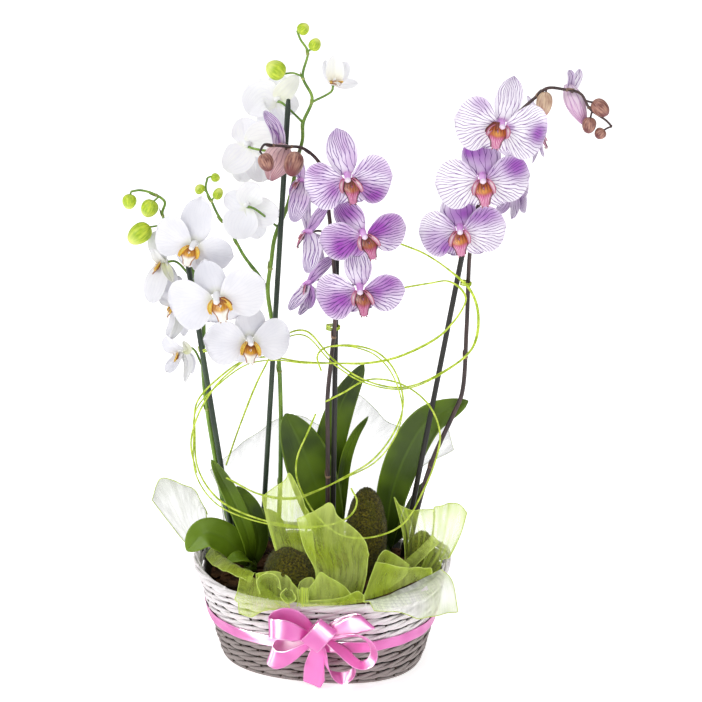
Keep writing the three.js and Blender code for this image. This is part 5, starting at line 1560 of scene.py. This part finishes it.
def bloom(number, row):
    name, kind, at, facing, size, _, _ = row
    tone = "white" if kind == "white" else "mauve"
    shape = Shape()
    if name not in TURNED:
        washes = WASHES.get(name, WASHES.get(kind, []))
        for k, (form, trim) in enumerate(zip(TEPALS, TRIMS.get(name, TRIMS["plain"]))):
            tepal(shape, form, size, 10 * number + k, washes, trim)
    if name not in CLOSED:
        lip(shape, size, LIPS[kind], LIP_SHIFTS.get(name, (0, 0)))
        column(shape, size)
        shape.move(bloom_matrix(at, facing))
    for k, form in enumerate(TURNED.get(name, [])):
        turned_tepal(shape, np.array(at, float), form, 10 * number + k)
    # the blooms at the back take the white with painted light: lighter and glowing
    petal = "petal_white_lit" if name.startswith("white_back") else "petal_" + kind
    cap = "column_white" if tone == "white" else "cap_mauve"
    paints = [petal, "lip_" + kind, "lobe_" + tone, "column_" + tone, cap]
    if name in CLOSED:
        closed_part(shape, CLOSED[name])
        paints = ["petal_" + kind, "closed_" + kind]
    make(f"flower_{name}", shape, paints, "petal_" + kind, ["bloom_" + name])


# Leaves: the points of the midrib, the widest breadth, the direction that the upper face turns to, how deep
# the blade folds along its midrib, and how light a young one is at its tip.
CROWNS = {
    "leaves_front_left": {
        "crown": (-76, 8),
        "leaves": [
            {"rib": [[-77, 5, 96], [-89, 1, 112], [-102, -4, 128], [-121, -15, 138], [-139, -22, 122]],
             "width": 33, "face": (0.2, -0.8, 0.6), "fold": 0.2, "young": 0.75},
            {"rib": [[-77, 4, 94], [-76, -2, 116], [-80, -6, 140], [-93, -9, 177], [-112, -10, 218]],
             "width": 18, "face": (0.5, -0.85, 0.1), "fold": 0.3, "young": 0.35},
            {"rib": [[-73, 10, 92], [-67, 13, 118], [-74, 14, 148], [-89, 17, 177]],
             "width": 23, "face": (0.35, -0.9, 0.2), "fold": 0.2},
            {"rib": [[-73, 2, 94], [-79, -10, 107], [-88, -19, 113], [-98, -24, 111]],
             "width": 16, "face": (0, -0.4, 0.9), "fold": 0.2},
        ],
    },
    "leaves_back_left": {
        "crown": (-82, 50),
        "leaves": [
            {"rib": [[-83, 50, 94], [-92, 52, 112], [-101, 54, 128], [-106, 55, 142]],
             "width": 16, "face": (0.5, -0.6, 0.6), "fold": 0.2},
            {"rib": [[-80, 48, 92], [-72, 40, 122], [-57, 28, 131], [-41, 19, 113]],
             "width": 27, "face": (0.1, -0.8, 0.6), "fold": 0.2},
        ],
    },
    "leaves_middle": {
        "crown": (13, 50),
        "leaves": [
            {"rib": [[12, 48, 92], [3, 46, 128], [-8, 44, 170], [-22, 42, 212], [-38, 38, 250]],
             "width": 50, "face": (0.2, -0.97, 0.1), "fold": 0.12},
            {"rib": [[12, 56, 92], [4, 64, 140], [6, 66, 200], [20, 64, 252], [43, 60, 297]],
             "width": 34, "face": (0.2, -0.95, 0), "fold": 0.2},
            {"rib": [[17, 52, 92], [19, 58, 140], [24, 57, 190], [34, 53, 220], [48, 48, 243]],
             "width": 13, "face": (0.3, -0.9, 0.3), "fold": 0.3},
        ],
    },
    "leaves_right": {
        "crown": (66, 44),
        "leaves": [
            {"rib": [[67, 46, 92], [73, 50, 150], [89, 53, 200], [112, 52, 238], [152, 44, 262]],
             "width": 38, "face": (-0.2, -0.95, 0.15), "fold": 0.22, "young": 0.3},
            {"rib": [[69, 48, 92], [84, 50, 112], [97, 55, 140], [109, 57, 166]],
             "width": 14, "face": (0.1, -0.95, 0.2), "fold": 0.3},
        ],
    },
}
LEAF = {"claw": 0.34, "peak": 0.55, "round": 2.1, "flare": 0.8, "blunt": 0.6, "tip": 0.05}
LEAF_ROWS = 44
LEAF_COLUMNS = 15
LEAF_THICK = 2.0
CROWN_HEIGHTS = (74, 84, 92, 96)
CROWN_RADII = (7, 7, 7, 4.9)


def leaf(shape, form, seed):
    line = curve(form["rib"], LEAF_ROWS)
    t = np.linspace(0, 1, LEAF_ROWS)[:, None]
    s = np.linspace(-1, 1, LEAF_COLUMNS)[None, :]
    half = form["width"] / 2 * half_breadth(t, LEAF)
    groove = -0.9 * np.exp(-(s / 0.09) ** 2) * np.minimum(half / 10, 1)
    ripple = 0.5 * np.sin(9 * t + seed) * s**2
    grid = along_rib(line, form["face"], half * s, half * form["fold"] * s**2 + groove + ripple)
    thick = np.broadcast_to(LEAF_THICK * (1 - 0.6 * np.abs(s) ** 3), grid.shape[:2])
    tone = spread(form.get("young", 0.0) * t, 0 * s, 0.0)
    shape.blade(grid, thick[..., None], 0, spread(t, s, seed), tone)


def rosette(number, name, form):
    shape = Shape()
    x, y = form["crown"]
    shape.tube([(x, y, z) for z in CROWN_HEIGHTS], CROWN_RADII, 16)
    for k, one in enumerate(form["leaves"]):
        leaf(shape, one, 7 * number + k)
    make(name + "_blades", shape, ["leaf"], "leaf", [name])


# Moss-covered eggs

MOSS = {
    "moss_dome": {"at": (-31, -42), "width": 54, "height": 50},
    "moss_egg": {"at": (46, -5), "width": 42, "height": 98},
    "moss_ball": {"at": (105, 15), "width": 26, "height": 40},
}
MOSS_CUT = -1.05  # where the egg is flattened to stand, as an angle below its middle
TUFT_AREA = 1.5  # square millimetres of moss to a tuft
TUFT_FACES = [(0, 1, 3), (1, 2, 3), (2, 0, 3), (0, 2, 1)]


def egg_point(form, lean, turn):
    """A point of an egg's lumpy surface, from its angle above the widest place and its turn."""
    low = math.sin(MOSS_CUT)
    x, y = form["at"]
    up = (math.sin(lean) - low) / (1 - low)
    radius = form["width"] / 2 * math.cos(lean)
    point = np.array((radius * math.cos(turn), radius * math.sin(turn), up * form["height"]))
    lump = 1 + 0.03 * noise.noise(Vector(point / 9.0)) + 0.02 * noise.noise(Vector(point / 3.0))
    return point * (lump, lump, 1) + (x, y, BARK_TOP + 0.35)


def tuft(shape, rng, form, centre):
    """A short thorn of moss that leans away from the egg's middle."""
    lean = math.asin(rng.uniform(math.sin(MOSS_CUT), 0.999))
    base = egg_point(form, lean, rng.uniform(0, FULL_TURN))
    away = unit(base - centre) + np.array([rng.uniform(-0.7, 0.7) for _ in range(3)])
    away = unit(away) * rng.uniform(0.7, 1.9)
    side = unit(np.cross(away, (0.3, 0.2, 1.0))) * rng.uniform(0.2, 0.45)
    other = unit(np.cross(away, side)) * 0.35
    shape.add([base - side, base + side, base + other, base + away], TUFT_FACES)


def moss_egg(name, form, seed):
    rng = random.Random(seed)
    shape = Shape()
    leans = np.linspace(MOSS_CUT, math.pi / 2 - 0.03, 44)
    shape.shell(np.array([[egg_point(form, lean, turn) for turn in ring_turns(72)] for lean in leans]))
    centre = np.array((*form["at"], BARK_TOP + form["height"] * 0.45))
    area = math.pi * form["width"] * form["height"] * 0.8
    for _ in range(int(area / TUFT_AREA)):
        tuft(shape, rng, form, centre)
    make(name + "_tufts", shape, ["moss"], "moss", [name])


# Rattan canes, bent in loops about the stems

CANES = {
    "cane_wide": [[70, 22, 388], [90, 18, 393], [109, 12, 398], [126, 16, 399], [139, 18, 391],
                  [145, 19, 380],
                  [142, 18, 370], [133, 17, 356], [118, 14, 341], [88, 8, 326], [66, 3, 320], [43, -1, 318],
                  [19, -3, 319], [-21, -6, 322], [-50, -4, 326], [-76, -2, 322], [-102, -6, 305],
                  [-125, -8, 279],
                  [-128, -9, 247], [-125, -16, 210], [-105, -28, 183], [-68, -30, 163], [-22, -30, 153],
                  [11, -29, 155], [30, -28, 165], [36, -24, 178], [30, -18, 190]],
    "cane_high": [[78, 14, 438], [104, 18, 426], [130, 17, 408], [150, 19, 387], [158, 22, 358],
                  [152, 20, 327], [124, 16, 304], [83, 10, 289], [43, 5, 299], [12, 1, 322], [-15, 6, 350],
                  [-36, 14, 343], [-61, 24, 300], [-85, 34, 240], [-102, 44, 190]],
    "cane_oval": [[-6, 5, 262], [-14, 3, 243], [-25, 2, 216], [-26, 0, 196], [-18, -3, 174],
                  [-3, -10, 153], [22, -31, 143], [52, -34, 143], [82, -24, 152], [104, 4, 176],
                  [118, 20, 206],
                  [122, 22, 234], [110, 20, 266], [82, 16, 290], [48, 8, 298], [22, 2, 286], [4, 3, 276]],
    "cane_low": [[-96, -26, 205], [-63, -24, 186], [-30, -18, 178], [-4, -8, 183], [24, 0, 195],
                 [52, 4, 212], [74, 10, 240], [83, 6, 275], [73, 6, 310], [57, 10, 326], [38, 6, 334],
                 [19, 3, 336], [2, 4, 332], [-4, 8, 322], [0, 6, 308]],
    "cane_left": [[-62, -4, 333], [-84, -10, 318], [-104, -14, 300], [-122, -18, 272], [-131, -20, 240],
                  [-126, -25, 210]],
}


# How far a second strand strays from the first
CANE_PAIRS = {"cane_wide": 7.0, "cane_high": 5.0, "cane_low": 6.0}


def second_strand(line, stray):
    """A strand that leaves a cane near its start, winds about it and meets it again near its end."""
    part = line[int(0.08 * len(line)):int(0.94 * len(line))]
    off = stray * np.sin(math.pi * np.linspace(0, 1, len(part)))
    turn = np.linspace(0, 9, len(part))
    return part + spread(0.6 * off * np.sin(turn * 0.6), -0.3 * off, off * np.cos(turn * 0.5))


def cane(name, points):
    shape = Shape()
    line = curve(points, 16 * len(points))
    along = np.linspace(0, 1, len(line))
    shape.tube(line, CANE_RADIUS * (0.95 + 0.06 * np.sin(along * 61)), 8)
    if name in CANE_PAIRS:
        shape.tube(second_strand(line, CANE_PAIRS[name]), CANE_RADIUS * 0.75, 8)
    make(name + "_rattan", shape, ["cane"], "cane", [name])


# Sheer wrap: each gather is one or more layers of cloth, from its foot row to its hem. A point of a row is
# the place in the photograph where it shows, across and down in pixels, and its distance behind the basket's
# middle in millimetres. pleats is how many soft folds run up a layer, ply how deep they are, and thin how
# much of its weave it loses towards its foot.
SHEETS = {
    "wrap_tall_front": {
        "paint": "organza_green", "flat": (0.11, 0.11), "held": "gathered",
        "layers": [
            {"pleats": 3.0, "ply": 1.4, "rows": [
                [[311, 601, -72], [326, 603, -76], [343, 603, -74], [360, 600, -68]],
                [[316, 574, -66], [330, 572, -71], [347, 573, -71], [366, 577, -66]],
                [[304, 547, -58], [320, 542, -67], [342, 543, -68], [368, 558, -62]],
                [[297, 519, -54], [304, 515.6, -54], [313, 512, -53], [322, 506.7, -51], [330, 503, -50],
                 [338, 515.6, -53], [348, 524, -55], [358, 533, -57], [365.6, 543, -59], [369, 555, -61]]]},
            {"pleats": 2.0, "ply": 2.0, "rows": [
                [[284, 596, -52], [303, 598, -56], [320, 598, -58]],
                [[278, 560, -44], [296, 558, -48], [316, 564, -52]],
                [[268, 524, -34], [290, 517, -38], [311, 524, -42]],
                [[262, 497, -28], [272, 489, -28], [285, 480, -28], [289, 473, -28], [300, 492, -32],
                 [309, 513, -36]]]},
        ],
    },
    "wrap_right_fan": {
        "paint": "organza_green", "flat": (0.07, 0.05), "held": "gathered",
        "layers": [
            {"pleats": 1.5, "ply": 1.0, "rows": [
                [[363, 598, -74], [371, 595, -70], [380, 592, -66], [389, 588, -62]],
                [[369, 583, -62], [379, 573, -54], [392, 572, -50], [405, 576, -52]],
                [[379, 556, -50], [385, 550.5, -46], [392, 553, -44], [400, 558, -44], [409, 565, -48]]]},
            {"pleats": 2.5, "ply": 1.2, "rows": [
                [[364, 600, -80], [377, 597, -80], [391, 592, -78], [411, 583, -72], [432, 574, -62]],
                [[367, 588, -70], [379, 580, -74], [395, 578, -77], [412, 574, -72], [432, 571, -61]],
                [[376, 562, -56], [386, 563.5, -66], [398, 567, -69], [414, 567.5, -66], [431, 568, -60]]]},
        ],
    },
    "wrap_right_wing": {
        "paint": "organza_clear", "flat": (0.105, 0.045), "held": "draped",
        "layers": [
            {"pleats": 3.0, "ply": 1.4, "rows": [
                [[366, 602, -84], [380, 598, -80], [395, 592, -75], [410, 585, -69], [424, 578, -62],
                 [434, 573, -56], [441, 569, -50]],
                [[365, 604, -95], [380, 603, -94], [396, 600, -90], [412, 598, -84], [428, 595, -75],
                 [444, 588, -64], [452, 581, -55]],
                [[364, 607, -99], [378, 609, -97], [396, 611, -92], [408, 615, -88], [420, 618.5, -82],
                 [438, 615, -71], [458, 612, -58]]]},
        ],
    },
    "wrap_right_back": {
        "paint": "organza_green", "flat": (0.08, 0.08), "held": "gathered",
        "layers": [
            {"pleats": 1.5, "ply": 1.6, "rows": [
                [[416, 577, -20], [424, 577, -22], [432, 575, -24]],
                [[427, 556, -22], [437, 560, -24], [447, 561, -24]],
                [[433, 532, -16], [446, 538, -19], [460, 536, -20]],
                [[434, 507, -8], [441, 506, -7], [450, 503, -8], [460, 505, -10], [467, 513, -12]]]},
            {"pleats": 2.5, "ply": 1.6, "thin": 0.7, "rows": [
                [[402, 577, -14], [411, 578, -18], [420, 577, -20]],
                [[405, 556, -12], [415, 557, -16], [426, 554, -18]],
                [[402, 530, -8], [416, 532, -12], [433, 530, -14]],
                [[394, 497, -2], [400, 505, -4], [410, 510, -6], [420, 510, -8], [434, 509, -10]]]},
            {"pleats": 0.5, "ply": 0.6, "rows": [
                [[403, 562, -30], [419, 548, -30], [432, 535, -26]],
                [[409, 566, -32], [424, 551, -32], [436, 539, -28]],
                [[412, 570, -30], [427, 555, -30], [439, 543, -26]]]},
        ],
    },
    "wrap_front_ruffle": {
        "paint": "organza_green", "flat": (0.105, 0.055), "held": "gathered",
        "layers": [
            {"pleats": 2.5, "ply": 1.2, "rows": [
                [[240, 577, -60], [250, 576, -64], [262, 584, -72], [272, 593, -80], [284, 601, -86]],
                [[238, 592, -72], [251, 596, -82], [264, 598, -88], [276, 602, -92], [288, 605, -93]],
                [[239, 613, -84], [252, 617, -92], [262, 611, -97], [275, 610, -100], [290, 608, -100]]]},
            {"pleats": 3.0, "ply": 1.2, "rows": [
                [[260, 603, -74], [274, 605, -78], [288, 606, -80], [300, 607, -84]],
                [[257, 587, -70], [270, 586, -72], [284, 589, -74], [298, 598, -80]],
                [[256, 574, -62], [268, 571.5, -64], [278, 572, -66], [288, 577, -69], [294, 584, -74],
                 [298, 591, -78]]]},
            {"pleats": 0.5, "ply": 0.3, "rows": [
                [[262, 590, -70], [260, 582, -68], [267, 578, -67], [275, 580, -68], [277, 587, -70]],
                [[260, 591, -77], [259, 580, -75], [267, 575, -74], [277, 578, -75], [279, 588, -77]],
                [[260, 594, -86], [257, 580, -83], [267, 573, -81], [278, 577, -82], [281, 590, -86]]]},
            {"pleats": 0.5, "ply": 0.2, "rows": [
                [[287, 590, -84], [284, 594, -85], [288, 598, -86], [293, 595, -85], [291, 590, -84]],
                [[287, 589, -92], [282, 595, -94], [288, 601, -96], [295, 597, -94], [291, 590, -92]],
                [[286, 588, -98], [280.5, 595, -101], [287, 603, -103], [296, 599, -101], [292, 590, -98]]]},
            {"pleats": 2.0, "ply": 0.8, "rows": [
                [[297, 608, -99], [303, 609, -100], [309, 607, -99]],
                [[298, 599, -94], [303, 599, -96], [308, 598, -94]],
                [[297, 590, -84], [303, 588, -86], [309, 589, -84]]]},
        ],
    },
    "wrap_front_peak": {
        "paint": "organza_green", "flat": (0.06, 0.05), "held": "gathered",
        "layers": [
            {"pleats": 2.5, "ply": 0.9, "rows": [
                [[307, 600, -86], [318, 605, -88], [330, 606, -90], [344, 605, -90], [356, 604, -88]],
                [[307, 596, -83], [318, 590, -84], [330, 591, -86], [343, 596, -88], [356, 602, -88]],
                [[307, 592, -80], [314, 582, -78], [320.5, 572.5, -74], [328, 577, -77], [338, 582, -80],
                 [346, 588, -83], [355, 600, -87]]]},
            {"pleats": 1.5, "ply": 0.5, "rows": [
                [[303, 608, -98], [318, 607.5, -100], [332, 607, -101], [346, 606, -101], [356, 605.5, -99],
                 [363, 606, -97]],
                [[303, 605, -101], [318, 604, -104], [332, 603, -105], [346, 601, -105], [356, 598.5, -103],
                 [364, 600, -99]],
                [[303, 602, -94], [317, 600, -96], [331, 599, -97], [345, 597, -97], [352, 594, -96],
                 [358, 591.5, -95], [363.5, 595, -94]]]},
            {"pleats": 1.0, "ply": 0.8, "rows": [
                [[299, 596, -77], [307, 597, -77], [315, 595, -77]],
                [[298, 589, -73], [306, 587, -72], [316, 589, -74]],
                [[300, 582, -68], [306, 578, -66], [311, 577.5, -66], [315, 581, -68]]]},
        ],
    },
    "wrap_left_band": {
        "paint": "organza_green", "flat": (0.075, 0.026), "held": "gathered",
        "layers": [
            {"pleats": 4.0, "ply": 0.9, "rows": [
                [[221, 552, -2], [228, 559, -16], [244, 570, -38], [257, 574, -52]],
                [[213, 547, -4], [222, 557, -22], [237, 566, -46], [254, 573, -60]],
                [[205.5, 556, -6], [213, 565, -28], [228, 572, -52], [250, 582, -68]]]},
        ],
    },
    "wrap_left_wing": {
        "paint": "organza_faint", "flat": (0.05, 0.075), "held": "gathered",
        "layers": [
            {"pleats": 2.0, "ply": 1.6, "rows": [
                [[207, 556, 20], [211, 557, 16], [216, 559, 12]],
                [[186, 543, 26], [195, 535, 22], [209, 532, 16]],
                [[168, 521, 24], [186, 508, 27], [206, 511, 20]],
                [[152, 500, 22], [161, 479, 26], [172, 479.5, 28], [183, 484.5, 28], [194.5, 490, 26],
                 [200, 498, 24], [208, 514.5, 20]]]},
        ],
    },
    "wrap_back_film": {
        "paint": "film", "flat": (0.25, 0.13), "held": "gathered",
        "layers": [
            {"pleats": 9.0, "ply": 3.0, "rows": [
                [[228, 549, 58], [246, 544, 70], [285, 541, 81], [330, 542, 77], [372, 544, 66],
                 [400, 549, 50]],
                [[219, 492, 78], [245, 478, 90], [286, 470, 99], [332, 468, 96], [378, 470, 84],
                 [412, 478, 72]],
                [[210, 470, 84], [247, 440, 98], [291, 415, 106], [330, 426, 102], [357, 394, 98],
                 [386, 420, 92], [416, 430, 88], [442, 418, 84], [454, 450, 76]]]},
        ],
    },
}
SHEET_ROWS = 30
SHEET_COLUMNS = 60
HEM_RADIUS = 0.45
CLOTH_OFF = 5.0  # from the wall's middle to cloth that hangs down in front of it
CLOTH_OVER = 7.5  # from the rim's middle to cloth that lies over it


def over_the_wall(grid):
    """Takes cloth that would run through the basket's wall or rim out in front of it or up over it."""
    own = turned(grid.reshape(-1, 3), LAYOUT_YAW)
    x, y, z = own.T
    rim = rim_height(np.arctan2(y / BASKET["rim_y"], x / BASKET["rim_x"]))
    half_x, half_y = wall_halves(np.clip(z / rim, 0, 1))
    power = BASKET["squareness"]
    reach = (np.abs(x / half_x) ** power + np.abs(y / half_y) ** power) ** (1 / power)
    width = np.hypot(x, y) / reach
    beyond = (reach - 1) * width
    rise = z - rim
    off = np.maximum(CLOTH_OFF, np.sqrt(np.maximum(CLOTH_OVER ** 2 - rise ** 2, 0)))
    lift = np.sqrt(np.maximum(CLOTH_OVER ** 2 - beyond ** 2, 0))
    outside = (rise < 0) & (beyond > -CLOTH_OFF * 0.5) & (beyond < off)
    on_rim = (rise < lift) & (np.abs(beyond) < np.where(rise < 0, CLOTH_OFF, CLOTH_OVER)) & ~outside
    own[:, :2] *= np.where(outside, 1 + (off - beyond) / (reach * width), 1)[:, None]
    own[:, 2] = np.where(on_rim, rim + lift, z)
    return turned(own, -LAYOUT_YAW).reshape(grid.shape)


def wrinkled(point, seed):
    x, y, z = point
    return 1.6 * noise.noise(Vector((x / 15, y / 15 + seed, z / 22)))


def layer_grid(layer, seed):
    """The points of one layer of cloth, pleated from its foot up and crumpled a little."""
    grid = smooth([curve(seen(row), SHEET_COLUMNS) for row in layer["rows"]], SHEET_ROWS)
    u = np.linspace(0, 1, SHEET_COLUMNS)[None, :]
    v = np.linspace(0, 1, SHEET_ROWS)[:, None]
    folds = np.sin(FULL_TURN * layer["pleats"] * u + seed + 1.2 * np.sin(5 * u + seed) * v)
    folds = folds + 0.2 * np.sin(FULL_TURN * layer["pleats"] * 1.7 * u + 2 * seed + v)
    crumple = np.array([wrinkled(p, seed) for p in grid.reshape(-1, 3)]).reshape(grid.shape[:2])
    still = np.sin(math.pi * np.clip(u * 6, 0, 0.5)) * np.sin(math.pi * np.clip((1 - u) * 6, 0, 0.5))
    move = layer["ply"] * (folds * (0.35 + 0.65 * v) + 0.7 * crumple) * (0.25 + 0.75 * still)
    return over_the_wall(grid + grid_normals(grid) * move[..., None])


CREASE_SHARP = 0.4  # turn of the cloth, in radians a millimetre, that counts as a full crease


def cloth_tones(grid, thin):
    """How sharply the cloth is creased at each point, how near its hem it is, and how thin it is towards its
    foot, all from 0 to 1."""
    turn = np.linalg.norm(np.gradient(grid_normals(grid), axis=1), axis=-1)
    step = np.linalg.norm(np.gradient(grid, axis=1), axis=-1)
    crease = np.clip(turn / np.maximum(step, 0.1) / CREASE_SHARP, 0, 1) ** 2
    up = np.linspace(0, 1, SHEET_ROWS)[:, None]
    side = np.abs(np.linspace(-1, 1, SHEET_COLUMNS))
    hem = np.maximum(up ** 6, side ** 16)
    return spread(crease, hem, thin * np.clip(1.6 * (1 - up), 0, 1))


def wrap(number, name, form):
    shape = Shape()
    width, length = form["flat"]
    for k, layer in enumerate(form["layers"]):
        grid = layer_grid(layer, number * 1.3 + k)
        across = np.linspace(0, distances(grid[-1])[-1] / 100, SHEET_COLUMNS)
        along = np.linspace(0, distances(grid[:, SHEET_COLUMNS // 2])[-1] / 100, SHEET_ROWS)
        shape.film(grid, 0, spread(along[:, None], across, k), cloth_tones(grid, layer.get("thin", 0)))
        shape.tube(np.concatenate([grid[:-1, 0], grid[-1], grid[-2::-1, -1]]), HEM_RADIUS, 6, 1)
    slot = "organza_green" if form["paint"] == "organza_green" else "organza_clear"
    hem = "hem_faint" if form["paint"] == "film" else "hem"
    piece = make(name + "_cloth", shape, [form["paint"], hem], slot, [name])


# Ties that hold stem and stick together: the middle, the way along the stick, and the radius.
TIES = {
    "tie_right": {"at": (146, 34, 392), "along": (0.16, -0.03, 1), "radius": 5.2},
    "tie_left": {"at": (-117, 12, 330), "along": (-0.11, -0.06, 1), "radius": 6.4},
    "tie_middle": {"at": (12, 19, 350), "along": (0.02, -0.03, 1), "radius": 6.6},
}
TIE_THICK = 0.85
TIE_PITCH = 1.9
TIE_TURNS = 2.2


def tie(name, form):
    """A soft green tie wound twice round a stick and its stem."""
    axis = unit(np.array(form["along"], float))
    side, other = sideways(axis, (0, 1, 0.2))
    turns = np.linspace(0, TIE_TURNS * FULL_TURN, 90)
    climb = np.outer(turns / FULL_TURN - 1, axis * TIE_PITCH)
    line = np.array(form["at"]) + circle(turns, form["radius"], side, 0.8 * other) + climb
    shape = Shape()
    shape.tube(line, TIE_THICK, 8)
    make(name, shape, ["cane"], "cane")


# Stage

FLOOR_REACH = 6.0  # metres
FLOOR_DEPTH = 14.0


def stage():
    mesh = bpy.data.meshes.new("floor")
    corners = [(-FLOOR_REACH, -FLOOR_REACH, 0), (FLOOR_REACH, -FLOOR_REACH, 0),
               (FLOOR_REACH, FLOOR_DEPTH, 0), (-FLOOR_REACH, FLOOR_DEPTH, 0)]
    mesh.from_pydata(corners, [], [(0, 1, 2, 3)])
    mesh.materials.append(PAINTS["floor"])
    floor = placed("floor", mesh)


def direction(turn, rise):
    """The way to a place, from its angle about Z and its height, in radians."""
    return Vector((math.cos(turn) * math.cos(rise), math.sin(turn) * math.cos(rise), math.sin(rise)))


def look(made, place, way):
    """Puts a camera or a lamp at a place, where it looks or shines along the way."""
    made.location = place
    made.rotation_euler = way.to_track_quat("-Z", "Y").to_euler()


def camera():
    data = bpy.data.cameras.new("camera")
    data.lens = SENSOR * FOCAL / FRAME_SIZE
    data.sensor_width = SENSOR
    data.clip_end = 100
    eye = placed("camera", data)
    target = Vector(turned([CAMERA_TARGET], LAYOUT_YAW)[0] * MM)
    back = direction(CAMERA_AZIMUTH - math.pi / 2, CAMERA_ELEVATION)
    look(eye, target + back * CAMERA_DISTANCE * MM, -back)
    bpy.context.scene.camera = eye


# Each lamp: name, place in metres, aim, watts, width and height
LAMPS = [
    ("key", (-1.5, -2.0, 2.2), (0, 0, 0.3), 31, 1.0, 1.0),
    ("fill", (1.9, -1.6, 1.2), (0, 0, 0.3), 7, 1.2, 1.2),
    ("top", (0.2, 0.8, 2.6), (0, 0, 0.2), 16, 1.6, 1.6),
]
WORLD_LIGHT = 0.43
# What glossy surfaces mirror of the room: its plain level, and tall softboxes as the direction from the
# object (degrees from +X), half their breadth (degrees) and their strength
MIRRORED_LIGHT = 0.18
SOFTBOXES = [(-132, 9, 5.0), (-104, 5, 4.0), (-38, 8, 4.0), (150, 14, 1.5)]
# Strip lamps that only the satin mirrors: direction from the object and height above it (degrees), watts
SATIN_LAMPS = [(-94, 24, 200), (-130, 24, 260)]
SATIN_LAMP_AWAY = 2.0
SATIN_LAMP_AIM = (0, 0, 0.06)
SATIN_LAMP_SIZE = (0.09, 0.8)


def lamp(name, place, aim, watts, width, height):
    data = bpy.data.lights.new(name, "AREA")
    data.shape = "RECTANGLE"
    data.energy = watts
    data.size = width
    data.size_y = height
    made = placed(name, data)
    look(made, place, Vector(aim) - Vector(place))
    return made


def lights(satin):
    for row in LAMPS:
        lamp(*row)
    lit = bpy.data.collections.new("satin")
    for piece in satin:
        lit.objects.link(piece)
    for k, (turn, rise, watts) in enumerate(SATIN_LAMPS):
        place = direction(math.radians(turn), math.radians(rise)) * SATIN_LAMP_AWAY
        strip = lamp(f"satin_{k}", place, SATIN_LAMP_AIM, watts, *SATIN_LAMP_SIZE)
        strip.visible_diffuse = False
        strip.light_linking.receiver_collection = lit


def room():
    """White to the camera, softly lit for matte surfaces, and dark with bright softboxes for glossy ones."""
    world = bpy.data.worlds.new("studio")
    bpy.context.scene.world = world
    world.use_nodes = True
    sky = Nodes(world.node_tree)
    x, y, _ = sky.split(sky.fed(sky.node("TexCoord"), {}, "Generated"))
    turn = sky.math("ARCTAN2", y, x)
    mirrored = MIRRORED_LIGHT
    for aim, half, power in SOFTBOXES:
        away = abs(turn - math.radians(aim))
        mirrored = mirrored + sky.mapped(away, math.radians(half * 0.6), math.radians(half), power, 0.0)
    path = sky.node("LightPath")
    level = sky.mapped(sky.fed(path, {}, "Is Glossy Ray"), 0.0, 1.0, WORLD_LIGHT, mirrored)
    level = sky.mapped(sky.fed(path, {}, "Is Camera Ray"), 0.0, 1.0, level, 1.0)
    background = world.node_tree.nodes["Background"]
    sky.put(background.inputs["Color"], WHITE)
    sky.put(background.inputs["Strength"], level)


camera()
basket_walls()
basket_stakes()
basket_rim()
basket_floor()
bark()
satin_pieces = [ribbon_band(), bow()]
for name, form in STICKS.items():
    stick(name, form)
for name, form in STEMS.items():
    flower_stem(name, form)
for number, (name, form) in enumerate(CROWNS.items()):
    rosette(number, name, form)
for number, row in enumerate(BLOOMS):
    bloom(number, row)
for number, (name, form) in enumerate(MOSS.items()):
    moss_egg(name, form, number)
for name, points in CANES.items():
    cane(name, points)
for number, (name, form) in enumerate(SHEETS.items()):
    wrap(number, name, form)
for name, form in TIES.items():
    tie(name, form)
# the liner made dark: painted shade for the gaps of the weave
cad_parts["liner"].data.materials.clear()
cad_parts["liner"].data.materials.append(PAINTS["liner_film"])
stage()
lights(satin_pieces)
room()
bpy.context.scene.view_settings.view_transform = "Standard"
